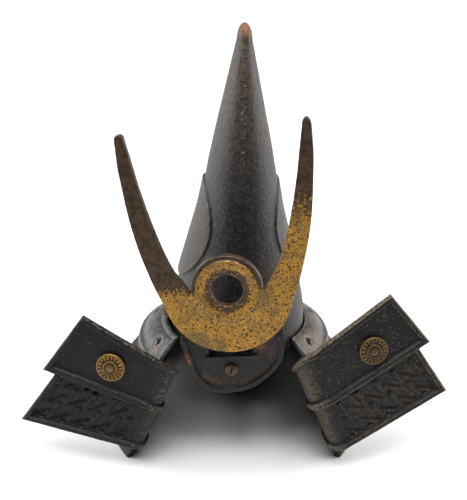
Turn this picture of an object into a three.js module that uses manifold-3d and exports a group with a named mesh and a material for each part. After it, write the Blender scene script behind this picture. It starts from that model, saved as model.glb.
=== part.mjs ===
// Small cast-iron model of a tall-crowned samurai helmet (kabuto).
// Millimetres, +Z up, the front faces -Y. Every piece is one closed solid of its own.
import * as THREE from "three";
import { mergeVertices } from "three/addons/utils/BufferGeometryUtils.js";
import Module from "manifold-3d";

// ---------------------------------------------------------------- driving dimensions

const FIT_GAP = 0.4; // air left between pieces that touch
const OVERCUT = 1; // how far a cutting shape runs past what it cuts
const DEGREE = Math.PI / 180;

const CROWN = {
  baseHeight: 44, // height of its lower edge above the table
  wall: 2.4,
  sides: 36,
  turn: 3.5 * DEGREE, // it was set slightly askew on the guard
  lean: 1.6 * DEGREE, // and its point leans to +X
  offsetX: 1.9,
};
// The crown stands in a collar of the guard. Their seam falls by this share towards the back.
const SEAM = { fall: 0.2, from: -20, depth: 4 };
// A row for each level of the crown, measured up from its lower edge.
const crownSections = [
  { up: 0, halfWidth: 27.4, halfDepth: 33.0, back: 0.5, fall: 1 },
  { up: 6, halfWidth: 27.2, halfDepth: 32.8, back: 1.0, fall: 0.8 },
  { up: 13, halfWidth: 26.0, halfDepth: 32.2, back: 2.1, fall: 0.4 },
  { up: 22, halfWidth: 23.6, halfDepth: 30.8, back: 3.8 },
  { up: 34, halfWidth: 20.2, halfDepth: 28.6, back: 5.6 },
  { up: 44, halfWidth: 17.5, halfDepth: 26.4, back: 7.0 },
  { up: 55, halfWidth: 15.1, halfDepth: 23.8, back: 8.5 },
  { up: 65, halfWidth: 13.4, halfDepth: 21.2, back: 9.8 },
  { up: 75, halfWidth: 11.4, halfDepth: 18.5, back: 11.1 },
  { up: 86, halfWidth: 9.1, halfDepth: 15.3, back: 12.4 },
  { up: 97, halfWidth: 6.75, halfDepth: 11.8, back: 13.7 },
  { up: 107, halfWidth: 4.6, halfDepth: 8.4, back: 14.8 },
  { up: 113.5, halfWidth: 3.2, halfDepth: 5.6, back: 15.5 },
  { up: 118, halfWidth: 1.8, halfDepth: 3.0, back: 15.9 },
];
const CROWN_TIP = { up: 120, back: 16 };
const HOLLOW_SECTIONS = 10; // the hollow follows this many of the rows above

const BOSS = { radius: 20.5, up: 38.5, back: 8.5, rise: 0.9, sides: 40, reach: 60 };

const GUARD = {
  wall: 2.4,
  columns: 34,
  frontAngle: -38.5 * DEGREE, // where its cut front edges stand, seen from above
  ribPitch: 1.45,
  ribRise: 0.55,
};
// A row for each level of the guard's outer face, from the seam down to the rim.
const guardProfile = [
  { level: "seam", height: 47.0, halfWidth: 29.4, halfDepth: 35.4, back: 0.5 },
  { level: "shoulder", height: 45.6, halfWidth: 32.0, halfDepth: 37.6, back: 0.4 },
  { level: "shoulder", height: 42.6, halfWidth: 35.4, halfDepth: 40.8, back: 0.3 },
  { level: "shoulder", height: 39.4, halfWidth: 37.8, halfDepth: 43.0, back: 0.2 },
  { level: "bead", height: 38.4, halfWidth: 39.6, halfDepth: 44.6, back: 0.1 },
  { level: "bead", height: 37.0, halfWidth: 39.8, halfDepth: 44.8, back: 0.1 },
  { level: "ribs", height: 36.4, halfWidth: 39.6, halfDepth: 44.8, back: 0.1 },
  { level: "band", height: 12.0, halfWidth: 50.4, halfDepth: 58.0, back: 0.0 },
  { level: "rim", height: 2.4, halfWidth: 54.4, halfDepth: 63.0, back: -0.2 },
  { level: "rim", height: 0.0, halfWidth: 54.8, halfDepth: 63.5, back: -0.2 },
];
const GUARD_HOLE = { radius: 1.5, height: 43.4, tilt: 52 * DEGREE, sides: 14, reach: 6 };
const guardHoles = [
  { hole: "right_front", angle: -27 * DEGREE },
  { hole: "right_side", angle: 15 * DEGREE },
  { hole: "left_side", angle: 165 * DEGREE },
  { hole: "left_front", angle: 207 * DEGREE },
];

const VISOR = {
  x: -0.3,
  front: -41, // its face stands here at the lowest edge
  plate: 2.4,
  wall: 2.6,
  rimWidth: 2.8,
  rimRise: 1.3,
  lipDepth: 5,
  sideDepth: 20,
  chin: 3, // how high the deep part of its lowest edge is
  behind: 12, // how far below the crown it still clears the crown's form
  lean: 6 * DEGREE,
  roll: 2.5 * DEGREE,
  middle: [0.6, 52], // its outline shrinks towards this point
};
// Its outline, by height: half an arch open at the top, worn unevenly at the two sides.
const visorSections = [
  { up: 35.9, left: -3.4, right: -1.2 },
  { up: 36.2, left: -6.2, right: 2.0 },
  { up: 37.2, left: -9.6, right: 6.6 },
  { up: 39.2, left: -12.0, right: 10.2 },
  { up: 42.2, left: -13.9, right: 13.7 },
  { up: 46.0, left: -15.5, right: 17.4 },
  { up: 50.4, left: -16.8, right: 20.0 },
  { up: 55.0, left: -18.0, right: 20.7 },
  { up: 60.0, left: -19.2, right: 20.9 },
];
const VISOR_SLOT = { width: 16.4, height: 6.5, up: 52.6, ledge: 1.3, ledgeWidth: 20.4, ledgeRise: 0.8 };
const SCREW = {
  radius: 2.6,
  headRise: 0.6,
  shank: 1.5,
  length: 5,
  up: 46.2,
  slot: 0.7,
  slotDepth: 0.45,
  slotTurn: 12 * DEGREE,
  sides: 24,
};

const CREST = {
  ringCentre: [-2.4, -38, 81.3],
  lean: 14.5 * DEGREE,
  turn: -6 * DEGREE,
  roll: 6.8 * DEGREE,
  plate: 3.2,
  discRise: 0.5,
  ringRadius: 13.4,
  ringHole: 5.8,
  ringRise: 1.2,
  ringInset: 1.9,
  ringSides: 40,
  crescentRadius: 24.7,
  crescentSteps: 14,
  hornSteps: 14,
  tipSteps: 6,
};
// Half widths between the edges of the two horns, at heights above the middle of the ring.
const hornSections = [
  { up: -5, inner: 12.2, outer: 24.2 },
  { up: 2, inner: 15.0, outer: 26.9 },
  { up: 8, inner: 19.0, outer: 28.8 },
  { up: 16, inner: 22.1, outer: 31.0 },
  { up: 26, inner: 25.0, outer: 33.0 },
  { up: 38, inner: 27.8, outer: 34.4 },
  { up: 50, inner: 30.0, outer: 35.3 },
  { up: 58.5, inner: 31.5, outer: 35.3 },
];
const hornTip = { right: 61.8, left: 60.2 };
const CREST_TANG = { width: 8, thickness: 1.6, reach: 8, up: -23.4, x: 1.5 };

const WING = {
  thickness: 2.2,
  turn: 9 * DEGREE, // the outer end stands a little further back than the fold
  lean: 14 * DEGREE,
  foldTilt: 18.5 * DEGREE,
  tuckAngle: -29 * DEGREE, // where the hooked end lies against the guard's wall
  tuckInward: 4.2, // from the guard's outer face to the face of the tucked end
  tuckLow: 12,
  tuckHigh: 35,
  swingLow: 9,
  swingHigh: 13,
  hookSteps: 9,
  hookAhead: 0.1, // turn along the guard that gives the hook's direction there
  band: 0.47, // share of the height where the top panel starts
  rimRise: 1.1,
  rimWidth: 2.6,
  rimSlope: 0.5,
  bandWidth: 3.2,
  stepBack: 0.6, // the lower panel lies this far behind the upper one
  backStep: 0.3, // and its back stands this far behind the upper one's
  overlap: 1.2, // and runs on this far under its band
};
// Each wing was bent by hand, so the two differ. Out from the fold line, and up along it.
const wingCorners = {
  right: {
    low_inner: [0, 0],
    low_outer: [45.3, 7.2],
    step_inner: [40.7, 27.8],
    step_outer: [45.3, 30.2],
    top_outer: [37.0, 55.0],
    top_inner: [1.5, 44.8],
  },
  left: {
    low_inner: [0, 0],
    low_outer: [44.1, -6.8],
    step_inner: [37.7, 16.8],
    step_outer: [42.4, 17.9],
    top_outer: [34.7, 45.9],
    top_inner: [1.8, 40.7],
  },
};
const wingSides = [
  { name: "right", side: 1, origin: [44.9, -44, 9.7], rosette: [23.2, 36.2] },
  { name: "left", side: -1, origin: [-41.7, -44, 10.4], rosette: [17.5, 30.5] },
];
const ROSETTE = { radius: 5.8, rise: 1.3, petals: 16, petalDepth: 0.6, hub: 2.7, hubRise: 0.9 };
// The cast lacing of the lower panels: sunk slots with raised cords between their two rows.
const LACING = { pitch: 0.19, slotDepth: 0.5, cordRise: 0.5 };
const lacingRows = [
  { row: "upper", up: 0.35, first: 0.11, slots: 5 },
  { row: "lower", up: 0.155, first: 0.22, slots: 4 },
];
const lacingSlot = { length: 6.6, width: 1.4, turn: -36 * DEGREE };
const lacingCords = [
  { row: "lower", out: -1.2, rise: 4.7, length: 6.2, width: 0.8, turn: -77 * DEGREE },
  { row: "lower", out: 2.7, rise: 2.4, length: 6.2, width: 0.8, turn: -77 * DEGREE },
  { row: "upper", out: 2.7, rise: 2.0, length: 4.6, width: 0.8, turn: -77 * DEGREE },
];

// ---------------------------------------------------------------- making solids

const wasm = await Module();
wasm.setup();

// A closed geometry whose faces point outwards becomes a solid for joining and cutting.
function solidOf(geometry) {
  const bare = geometry.clone();
  bare.deleteAttribute("normal");
  bare.deleteAttribute("uv");
  const merged = mergeVertices(bare, 1e-4);
  const triVerts = new Uint32Array(merged.index.array);
  const vertProperties = merged.attributes.position.array;
  return new wasm.Manifold(new wasm.Mesh({ numProp: 3, vertProperties, triVerts }));
}

function geometryOf(solid) {
  const mesh = solid.getMesh();
  const positions = new Float32Array(mesh.numVert * 3);
  for (let i = 0; i < mesh.numVert; i++)
    for (let k = 0; k < 3; k++) positions[3 * i + k] = mesh.vertProperties[mesh.numProp * i + k];
  const geometry = new THREE.BufferGeometry();
  geometry.setAttribute("position", new THREE.BufferAttribute(positions, 3));
  geometry.setIndex(new THREE.BufferAttribute(new Uint32Array(mesh.triVerts), 1));
  geometry.computeVertexNormals();
  return geometry;
}

const join = (first, ...others) => others.reduce((all, next) => all.add(next), first);
const cut = (first, ...others) => others.reduce((left, next) => left.subtract(next), first);

function signedVolume(positions, faces) {
  const a = new THREE.Vector3();
  const b = new THREE.Vector3();
  const c = new THREE.Vector3();
  let volume = 0;
  for (let i = 0; i < faces.length; i += 3) {
    a.fromArray(positions, 3 * faces[i]);
    b.fromArray(positions, 3 * faces[i + 1]);
    c.fromArray(positions, 3 * faces[i + 2]);
    volume += a.dot(b.cross(c));
  }
  return volume;
}

// Points and faces become a geometry whose faces point outwards.
function closedGeometry(points, faces) {
  const positions = points.flatMap((p) => [p.x, p.y, p.z]);
  const turned = signedVolume(positions, faces) < 0;
  const index = turned ? faces.slice().reverse() : faces;
  const geometry = new THREE.BufferGeometry();
  geometry.setAttribute("position", new THREE.Float32BufferAttribute(positions, 3));
  geometry.setIndex(index);
  return geometry;
}

// Rings of points, each with the same count, are skinned and closed at both ends.
function loft(rings, lowCentre, highCentre) {
  const around = rings[0].length;
  const points = [...rings.flat(), lowCentre, highCentre];
  const low = rings.length * around;
  const last = (rings.length - 1) * around;
  const faces = [];
  for (let k = 0; k < around; k++) {
    const next = (k + 1) % around;
    for (let r = 0; r + 1 < rings.length; r++) {
      const here = r * around;
      faces.push(here + k, here + next, here + around + next);
      faces.push(here + k, here + around + next, here + around + k);
    }
    faces.push(low, next, k);
    faces.push(low + 1, last + k, last + next);
  }
  return closedGeometry(points, faces);
}

// Closed loops of points, one for each station, are skinned and their two end loops closed.
function sweep(loops) {
  const around = loops[0].length;
  const last = (loops.length - 1) * around;
  const faces = [];
  for (let r = 0; r + 1 < loops.length; r++)
    for (let k = 0; k < around; k++) {
      const [here, next] = [r * around + k, r * around + ((k + 1) % around)];
      faces.push(here, next, next + around);
      faces.push(here, next + around, here + around);
    }
  faces.push(...capFaces(loops[0], false));
  faces.push(...capFaces(loops[loops.length - 1], true).map((n) => n + last));
  return closedGeometry(loops.flat(), faces);
}

// Triangles that fill a loop, wound with its points or against them.
function capFaces(loop, forward) {
  const flat = loop.map((p) => new THREE.Vector2(Math.hypot(p.x, p.y), p.z));
  const wanted = THREE.ShapeUtils.area(flat) > 0 === forward;
  return THREE.ShapeUtils.triangulateShape(flat, []).flatMap((corners) => {
    const positive = THREE.ShapeUtils.area(corners.map((n) => flat[n])) > 0;
    return positive === wanted ? corners : [...corners].reverse();
  });
}

const box = (x, y, z) => new THREE.BoxGeometry(x, y, z);

// A bent plate: face(u, v) and back(u, v) give its two sides at the given stations.
function plate(across, down, face, back) {
  const rows = down.length;
  const count = across.length * rows;
  const grid = (side) => across.flatMap((u) => down.map((v) => side(u, v)));
  const points = [...grid(face), ...grid(back)];
  const at = (i, j) => i * rows + j;
  const faces = [];
  const quad = (a, b, c, d) => faces.push(a, b, c, a, c, d);
  for (let i = 0; i + 1 < across.length; i++) {
    for (let j = 0; j + 1 < rows; j++) {
      const corners = [at(i, j), at(i, j + 1), at(i + 1, j + 1), at(i + 1, j)];
      quad(...corners);
      quad(...corners.map((n) => n + count).reverse());
    }
    quad(at(i + 1, 0), at(i + 1, 0) + count, at(i, 0) + count, at(i, 0));
    const end = rows - 1;
    quad(at(i, end), at(i, end) + count, at(i + 1, end) + count, at(i + 1, end));
  }
  const edge = across.length - 1;
  for (let j = 0; j + 1 < rows; j++) {
    quad(at(0, j), at(0, j) + count, at(0, j + 1) + count, at(0, j + 1));
    quad(at(edge, j + 1), at(edge, j + 1) + count, at(edge, j) + count, at(edge, j));
  }
  return closedGeometry(points, faces);
}

const stations = (from, to, steps) =>
  Array.from({ length: steps + 1 }, (_, i) => from + ((to - from) * i) / steps);

// An outline in the XY plane, pushed out along +Z from one height to another.
function slab(outline, from, to) {
  const shape = new THREE.Shape(outline.map(([x, y]) => new THREE.Vector2(x, y)));
  const geometry = new THREE.ExtrudeGeometry(shape, { depth: to - from, bevelEnabled: false });
  return geometry.translate(0, 0, from);
}

// A round bar along Z from one height to another.
function bar(radius, from, to, sides) {
  const geometry = new THREE.CylinderGeometry(radius, radius, to - from, sides);
  return geometry.rotateX(Math.PI / 2).translate(0, 0, (from + to) / 2);
}

// Smooth value of one column of a table at a height between its rows.
function columnAt(rows, key, column, value) {
  const last = rows.length - 1;
  let i = 0;
  while (i < last - 1 && value > rows[i + 1][key]) i++;
  const [a, b] = [rows[i], rows[i + 1]];
  const [before, after] = [rows[Math.max(i - 1, 0)], rows[Math.min(i + 2, last)]];
  const span = b[key] - a[key];
  const t = THREE.MathUtils.clamp((value - a[key]) / span, 0, 1);
  const slope = (from, to) => ((to[column] - from[column]) / (to[key] - from[key])) * span;
  const [m0, m1] = [slope(before, b), slope(a, after)];
  const [t2, t3] = [t * t, t * t * t];
  const ends = (2 * t3 - 3 * t2 + 1) * a[column] + (3 * t2 - 2 * t3) * b[column];
  return ends + (t3 - 2 * t2 + t) * m0 + (t3 - t2) * m1;
}

// ---------------------------------------------------------------- crown

const seamFall = (y) => SEAM.fall * Math.max(0, y - SEAM.from);

function crownRing(row, grow = 0) {
  return stations(0, 2 * Math.PI, CROWN.sides)
    .slice(0, -1)
    .map((angle) => {
      const x = (row.halfWidth + grow) * Math.cos(angle);
      const y = row.back + (row.halfDepth + grow) * Math.sin(angle);
      return new THREE.Vector3(x, y, row.up - (row.fall ?? 0) * seamFall(y));
    });
}

const crownMatrix = new THREE.Matrix4()
  .makeTranslation(CROWN.offsetX, 0, CROWN.baseHeight)
  .multiply(new THREE.Matrix4().makeRotationZ(CROWN.turn))
  .multiply(new THREE.Matrix4().makeRotationY(CROWN.lean));

function crownForm(grow, below) {
  const rings = crownSections.map((row) => crownRing(row, grow));
  if (below > 0) rings.unshift(crownRing({ ...crownSections[0], up: -below }, grow));
  const tip = new THREE.Vector3(0, CROWN_TIP.back, CROWN_TIP.up + grow);
  return solidOf(loft(rings, new THREE.Vector3(0, crownSections[0].back, -below), tip));
}

function crownHollow() {
  const rows = crownSections.slice(0, HOLLOW_SECTIONS);
  const rings = rows.map((row) => crownRing(row, -CROWN.wall));
  rings.unshift(crownRing({ ...rows[0], up: -OVERCUT }, -CROWN.wall));
  const top = crownSections[HOLLOW_SECTIONS];
  const low = new THREE.Vector3(0, rows[0].back, -OVERCUT);
  return solidOf(loft(rings, low, new THREE.Vector3(0, top.back, top.up)));
}

// A flat round boss wraps each side: the grown crown seen through a round bar along X.
function crownBosses() {
  const through = bar(BOSS.radius, -BOSS.reach, BOSS.reach, BOSS.sides);
  through.rotateY(Math.PI / 2).translate(0, BOSS.back, BOSS.up);
  return crownForm(BOSS.rise, 0).intersect(solidOf(through));
}

function makeCrown() {
  return cut(join(crownForm(0, 0), crownBosses()), crownHollow());
}

// ---------------------------------------------------------------- neck guard

// A point of the guard's outer face, or of a face drawn inwards from it.
function guardPoint(row, angle, inward = 0) {
  const x = (row.halfWidth - inward) * Math.cos(angle);
  const y = row.back + (row.halfDepth - inward) * Math.sin(angle);
  const share = row.height / guardProfile[0].height;
  return new THREE.Vector3(x, y, row.height - share * seamFall(y));
}

function mixRows(upper, lower, t) {
  const mixed = {};
  for (const key of ["height", "halfWidth", "halfDepth", "back"])
    mixed[key] = THREE.MathUtils.lerp(upper[key], lower[key], t);
  return mixed;
}

function guardRowAt(height) {
  const rows = guardProfile;
  let i = 0;
  while (i < rows.length - 2 && height < rows[i + 1].height) i++;
  const [upper, lower] = [rows[i], rows[i + 1]];
  return mixRows(upper, lower, (upper.height - height) / (upper.height - lower.height));
}

// The ribs stand in a zigzag between the row that starts them and the plain band.
function guardOuterRows() {
  const first = guardProfile.findIndex((row) => row.level === "ribs");
  const [top, bottom] = [guardProfile[first], guardProfile[first + 1]];
  const slant = Math.hypot(bottom.height - top.height, bottom.halfWidth - top.halfWidth);
  const ribs = Math.round(slant / GUARD.ribPitch);
  const rows = guardProfile.slice(0, first + 1);
  for (let k = 0; k < ribs; k++) {
    const crest = mixRows(top, bottom, (k + 0.5) / ribs);
    crest.height += GUARD.ribRise * 0.5;
    crest.halfWidth += GUARD.ribRise;
    crest.halfDepth += GUARD.ribRise;
    rows.push(crest, mixRows(top, bottom, (k + 1) / ribs));
  }
  return rows.concat(guardProfile.slice(first + 2));
}

// One section of the guard: down its outer face and up its inner one, both grown by some air.
function guardSection(outer, inner, angle, air = 0) {
  const lining = inner.map((row, i) => {
    const point = guardPoint(row, angle, GUARD.wall + air);
    const atEdge = i === 0 || i === inner.length - 1;
    return atEdge ? point : point.setZ(point.z - GUARD.wall / 2);
  });
  return [...outer.map((row) => guardPoint(row, angle, -air)), ...lining.reverse()];
}

// The guard and the air round it, which the hooked wings keep clear of.
function guardSpace() {
  const rows = guardProfile.filter((row) => row.level !== "bead");
  const spare = FIT_GAP / guardProfile[0].halfWidth;
  const [from, to] = [GUARD.frontAngle - spare, Math.PI - GUARD.frontAngle + spare];
  const outer = rows.map((row) => {
    const proud = row.level === "rim" ? 0 : GUARD.ribRise;
    return { ...row, halfWidth: row.halfWidth + proud, halfDepth: row.halfDepth + proud };
  });
  const sections = stations(from, to, GUARD.columns);
  return solidOf(sweep(sections.map((angle) => guardSection(outer, rows, angle, FIT_GAP))));
}

function makeGuard() {
  const outer = guardOuterRows();
  const inner = guardProfile.filter((row) => row.level !== "bead");
  const angles = stations(GUARD.frontAngle, Math.PI - GUARD.frontAngle, GUARD.columns);
  const sections = angles.map((angle) => guardSection(outer, inner, angle));
  const drills = guardHoles.map(({ angle }) => {
    const at = guardPoint(guardRowAt(GUARD_HOLE.height), angle);
    const drill = bar(GUARD_HOLE.radius, -GUARD_HOLE.reach, GUARD_HOLE.reach, GUARD_HOLE.sides);
    drill.rotateY(GUARD_HOLE.tilt).rotateZ(angle).translate(at.x, at.y, at.z);
    return solidOf(drill);
  });
  const collar = crownForm(FIT_GAP, SEAM.depth).transform(crownMatrix.elements);
  return cut(solidOf(sweep(sections)), collar, ...drills);
}

// ---------------------------------------------------------------- visor and its screw

// Its outline in the XY plane, drawn in from the edge by the same distance all round.
function visorOutline(inset) {
  const [middleX, middleUp] = VISOR.middle;
  const low = visorSections[0];
  const high = visorSections[visorSections.length - 1];
  const narrow = 1 - inset / (high.right - middleX);
  const short = 1 - inset / (middleUp - low.up);
  const shrink = (x, up) => [
    middleX + (x - middleX) * narrow,
    up < middleUp ? middleUp + (up - middleUp) * short : up,
  ];
  const right = visorSections.map((row) => shrink(row.right, row.up));
  const left = visorSections.map((row) => shrink(row.left, row.up));
  return [...left.reverse(), ...right];
}

const VISOR_BOTTOM = visorSections[0].up;
const visorMatrix = new THREE.Matrix4()
  .makeTranslation(VISOR.x, VISOR.front, VISOR_BOTTOM)
  .multiply(new THREE.Matrix4().makeRotationY(-VISOR.roll))
  .multiply(new THREE.Matrix4().makeRotationX(Math.PI / 2 - VISOR.lean))
  .multiply(new THREE.Matrix4().makeTranslation(0, -VISOR_BOTTOM, 0));

// What is cut from the visor's underside, so that its two cheeks slope up towards the back.
function visorUnderside() {
  const reach = 1.5 * VISOR.sideDepth;
  const under = VISOR_BOTTOM - OVERCUT;
  const outline = [
    [-VISOR.lipDepth, under],
    [-VISOR.lipDepth, VISOR_BOTTOM + VISOR.chin],
    [-VISOR.sideDepth, VISOR.middle[1]],
    [-reach, VISOR.middle[1]],
    [-reach, under],
  ];
  return slab(outline, -reach, reach).rotateY(-Math.PI / 2);
}

function makeVisor() {
  const skin = solidOf(slab(visorOutline(0), -VISOR.sideDepth, VISOR.rimRise));
  const field = solidOf(slab(visorOutline(VISOR.rimWidth), 0, VISOR.rimRise + OVERCUT));
  const hollow = solidOf(slab(visorOutline(VISOR.wall), -VISOR.sideDepth - OVERCUT, -VISOR.plate));
  const { width, up, height, ledge, ledgeWidth, ledgeRise } = VISOR_SLOT;
  const slot = box(width, height, 3 * VISOR.plate).translate(0, up + height / 2, 0);
  const ledgeBar = box(ledgeWidth, ledge, 2 * ledgeRise).translate(0, up - ledge / 2, 0);
  const bore = bar(SCREW.shank + FIT_GAP, -2 * VISOR.plate, 2, SCREW.sides).translate(0, SCREW.up, 0);
  const crownSpace = crownForm(BOSS.rise + FIT_GAP, VISOR.behind).transform(crownMatrix.elements);
  const framed = join(cut(skin, field, hollow), solidOf(ledgeBar));
  const shell = cut(framed, solidOf(slot), solidOf(bore), solidOf(visorUnderside()));
  return cut(shell.transform(visorMatrix.elements), crownSpace);
}

function makeScrew() {
  const head = solidOf(bar(SCREW.radius, FIT_GAP, FIT_GAP + SCREW.headRise, SCREW.sides));
  const shank = solidOf(bar(SCREW.shank, -SCREW.length, FIT_GAP + SCREW.headRise / 2, SCREW.sides));
  const slotCut = box(SCREW.slot, 3 * SCREW.radius, 2 * SCREW.slotDepth);
  slotCut.rotateZ(-SCREW.slotTurn).translate(0, 0, FIT_GAP + SCREW.headRise);
  const screw = cut(join(head, shank), solidOf(slotCut));
  return screw.translate([0, SCREW.up, 0]).transform(visorMatrix.elements);
}

// ---------------------------------------------------------------- crest

// Right half of the crescent and its horn, from the lowest point round to the ring.
function crestHalf(tipUp) {
  const first = hornSections[0];
  const last = hornSections[hornSections.length - 1];
  const start = Math.asin(first.up / CREST.crescentRadius);
  const crescent = stations(-Math.PI / 2, start, CREST.crescentSteps)
    .slice(0, -1)
    .map((angle) => [CREST.crescentRadius * Math.cos(angle), CREST.crescentRadius * Math.sin(angle)]);
  const heights = stations(first.up, last.up, CREST.hornSteps);
  const outer = heights.map((up) => [columnAt(hornSections, "up", "outer", up), up]);
  const inner = heights.filter((up) => up > first.up + 1).map((up) => [columnAt(hornSections, "up", "inner", up), up]);
  const tipRadius = (last.outer - last.inner) / 2;
  const tipHeight = tipUp - last.up;
  const tip = stations(0, Math.PI, CREST.tipSteps)
    .slice(1, -1)
    .map((angle) => [
      last.inner + tipRadius + tipRadius * Math.cos(angle),
      last.up + tipHeight * Math.sin(angle),
    ]);
  return [...crescent, ...outer, ...tip, ...inner.reverse()];
}

const crestMatrix = new THREE.Matrix4()
  .makeTranslation(...CREST.ringCentre)
  .multiply(new THREE.Matrix4().makeRotationZ(CREST.turn))
  .multiply(new THREE.Matrix4().makeRotationX(Math.PI / 2 - CREST.lean))
  .multiply(new THREE.Matrix4().makeRotationZ(CREST.roll));

function makeCrest() {
  const right = crestHalf(hornTip.right);
  const left = crestHalf(hornTip.left).slice(1).map(([x, y]) => [-x, y]);
  const horns = solidOf(slab([...right, ...left.reverse()], -CREST.plate, 0));
  const disc = solidOf(bar(CREST.ringRadius, -CREST.plate, CREST.discRise, CREST.ringSides));
  const ring = solidOf(bar(CREST.ringRadius - CREST.ringInset, -1, CREST.ringRise, CREST.ringSides));
  const hole = solidOf(bar(CREST.ringHole, -CREST.plate - OVERCUT, CREST.ringRise + OVERCUT, CREST.ringSides));
  const { width, thickness, reach, up, x } = CREST_TANG;
  const tang = solidOf(box(width, thickness, reach).translate(x, up, -CREST.plate - reach / 2 + 0.5));
  return cut(join(horns, disc, ring, tang), hole).transform(crestMatrix.elements);
}

// ---------------------------------------------------------------- wings and rosettes

// The flat front of a wing: out along U and up along the line where it folds back.
function wingPlane(side) {
  const { turn, lean, foldTilt } = WING;
  const normal = new THREE.Vector3(
    side * Math.sin(turn) * Math.cos(lean),
    -Math.cos(turn) * Math.cos(lean),
    Math.sin(lean),
  );
  const up = new THREE.Vector3(0, 0, 1).addScaledVector(normal, -normal.z).normalize();
  const out = new THREE.Vector3().crossVectors(up, normal).multiplyScalar(side);
  const along = out.clone().multiplyScalar(Math.cos(foldTilt)).addScaledVector(up, Math.sin(foldTilt));
  const fold = up.clone().multiplyScalar(Math.cos(foldTilt)).addScaledVector(out, -Math.sin(foldTilt));
  return { normal, along, fold };
}

// The middle of a wing's plate. across runs from -1 (tucked in the guard) over 0 (the fold line)
// to 1 (the outer edge); up runs from 0 (bottom edge) to 1 (top edge).
function wingMiddle(wing, panel, across, up) {
  const { along, fold } = wing.plane;
  const corner = (name) => {
    const [out, rise] = wing.corners[name];
    return wing.origin.clone().addScaledVector(along, out).addScaledVector(fold, rise);
  };
  const start = corner("low_inner").lerp(corner("top_inner"), up);
  const local = THREE.MathUtils.clamp((up - panel.from) / (panel.to - panel.from), 0, 1);
  const end = corner(panel.low).lerp(corner(panel.top), local);
  if (across >= 0) return start.lerp(end, across);
  return hookPoint(wing, start, up, -across);
}

// Behind the fold line the plate hooks round the guard's front edge and lies inside its wall.
function hookPoint(wing, start, up, t) {
  const { side, plane } = wing;
  const height = THREE.MathUtils.lerp(WING.tuckLow, WING.tuckHigh, up);
  const row = guardRowAt(height);
  const inward = WING.tuckInward + WING.thickness / 2;
  const tuck = guardPoint(row, WING.tuckAngle, inward);
  const ahead = guardPoint(row, WING.tuckAngle + WING.hookAhead, inward).sub(tuck).normalize();
  tuck.x *= side;
  ahead.x *= side;
  const swing = THREE.MathUtils.lerp(WING.swingLow, WING.swingHigh, up);
  const curve = new THREE.CubicBezierCurve3(
    start,
    start.clone().addScaledVector(plane.along, -swing),
    tuck.clone().addScaledVector(ahead, -swing),
    tuck,
  );
  return curve.getPoint(t);
}

function wingPoint(wing, panel, across, up, rise) {
  const step = 1e-3;
  const a = THREE.MathUtils.clamp(across, step - 1, 1 - step);
  const u = THREE.MathUtils.clamp(up, panel.from + step, panel.to - step);
  const outward = wingMiddle(wing, panel, a + step, u).sub(wingMiddle(wing, panel, a - step, u));
  const upward = wingMiddle(wing, panel, a, u + step).sub(wingMiddle(wing, panel, a, u - step));
  const normal = outward.cross(upward).normalize().multiplyScalar(wing.side);
  return wingMiddle(wing, panel, across, up).addScaledVector(normal, rise);
}

const lowPanel = { from: 0, to: WING.band, low: "low_outer", top: "step_inner" };
const topPanel = { from: WING.band, to: 1, low: "step_outer", top: "top_outer" };

// A panel whose face rises over the middle of its plate by riseAt(across, up).
function wingPanel(wing, panel, across, up, riseAt, sink) {
  const face = (a, u) => wingPoint(wing, panel, a, u, riseAt(a, u));
  const back = (a, u) => wingPoint(wing, panel, a, u, -sink);
  return solidOf(plate(across, up, face, back));
}

// A frame on a wing's flat front: out along it, up along the fold, and square off its face.
function wingFrame(wing, at, proud) {
  const { along, fold, normal } = wing.plane;
  const frame = new THREE.Matrix4().makeBasis(along, fold, normal);
  return frame.setPosition(at.clone().addScaledVector(normal, proud));
}

// A short straight strip on a wing's flat front.
function strip(wing, at, shift, size, low, high) {
  const outline = box(size.length, size.width, high - low).rotateZ(size.turn);
  outline.translate(shift.out, shift.rise, (low + high) / 2);
  return solidOf(outline).transform(wingFrame(wing, at, 0).elements);
}

function makeLacing(wing, field) {
  const slots = [];
  const cords = [];
  for (const { row, up, first, slots: count } of lacingRows)
    for (let k = 0; k < count; k++) {
      const at = wingMiddle(wing, lowPanel, first + k * LACING.pitch, up);
      slots.push(strip(wing, at, { out: 0, rise: 0 }, lacingSlot, field - LACING.slotDepth, field + OVERCUT));
      for (const cord of lacingCords.filter((each) => each.row === row))
        cords.push(strip(wing, at, cord, cord, 0, field + LACING.cordRise));
    }
  return { slots, cords };
}

function makeWing(wing) {
  const half = WING.thickness / 2;
  const raised = half + WING.rimRise;
  const field = half - WING.stepBack;
  const height = wing.corners.top_inner[1];
  const edge = WING.rimWidth / height;
  const slope = WING.rimSlope / height;
  const rim = 1 - WING.rimWidth / wing.corners.low_outer[0];
  const bandTop = WING.band + WING.bandWidth / height;
  const across = [...stations(-1, 0, WING.hookSteps), rim - slope, rim, 1];
  const upTop = [WING.band, bandTop, bandTop + slope, 1 - edge - slope, 1 - edge, 1];
  const upLow = [0, edge, edge + slope, WING.band + WING.overlap / height];
  const topRise = (a, u) => (a >= rim || u <= bandTop || u >= 1 - edge ? raised : half);
  const lowRise = (a, u) => (a >= rim || u <= edge ? raised - WING.stepBack : field);
  const top = wingPanel(wing, topPanel, across, upTop, topRise, half);
  const low = wingPanel(wing, lowPanel, across, upLow, lowRise, half + WING.backStep);
  const { slots, cords } = makeLacing(wing, field);
  return cut(join(cut(join(low, ...cords), ...slots), top), guardSpace());
}

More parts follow.
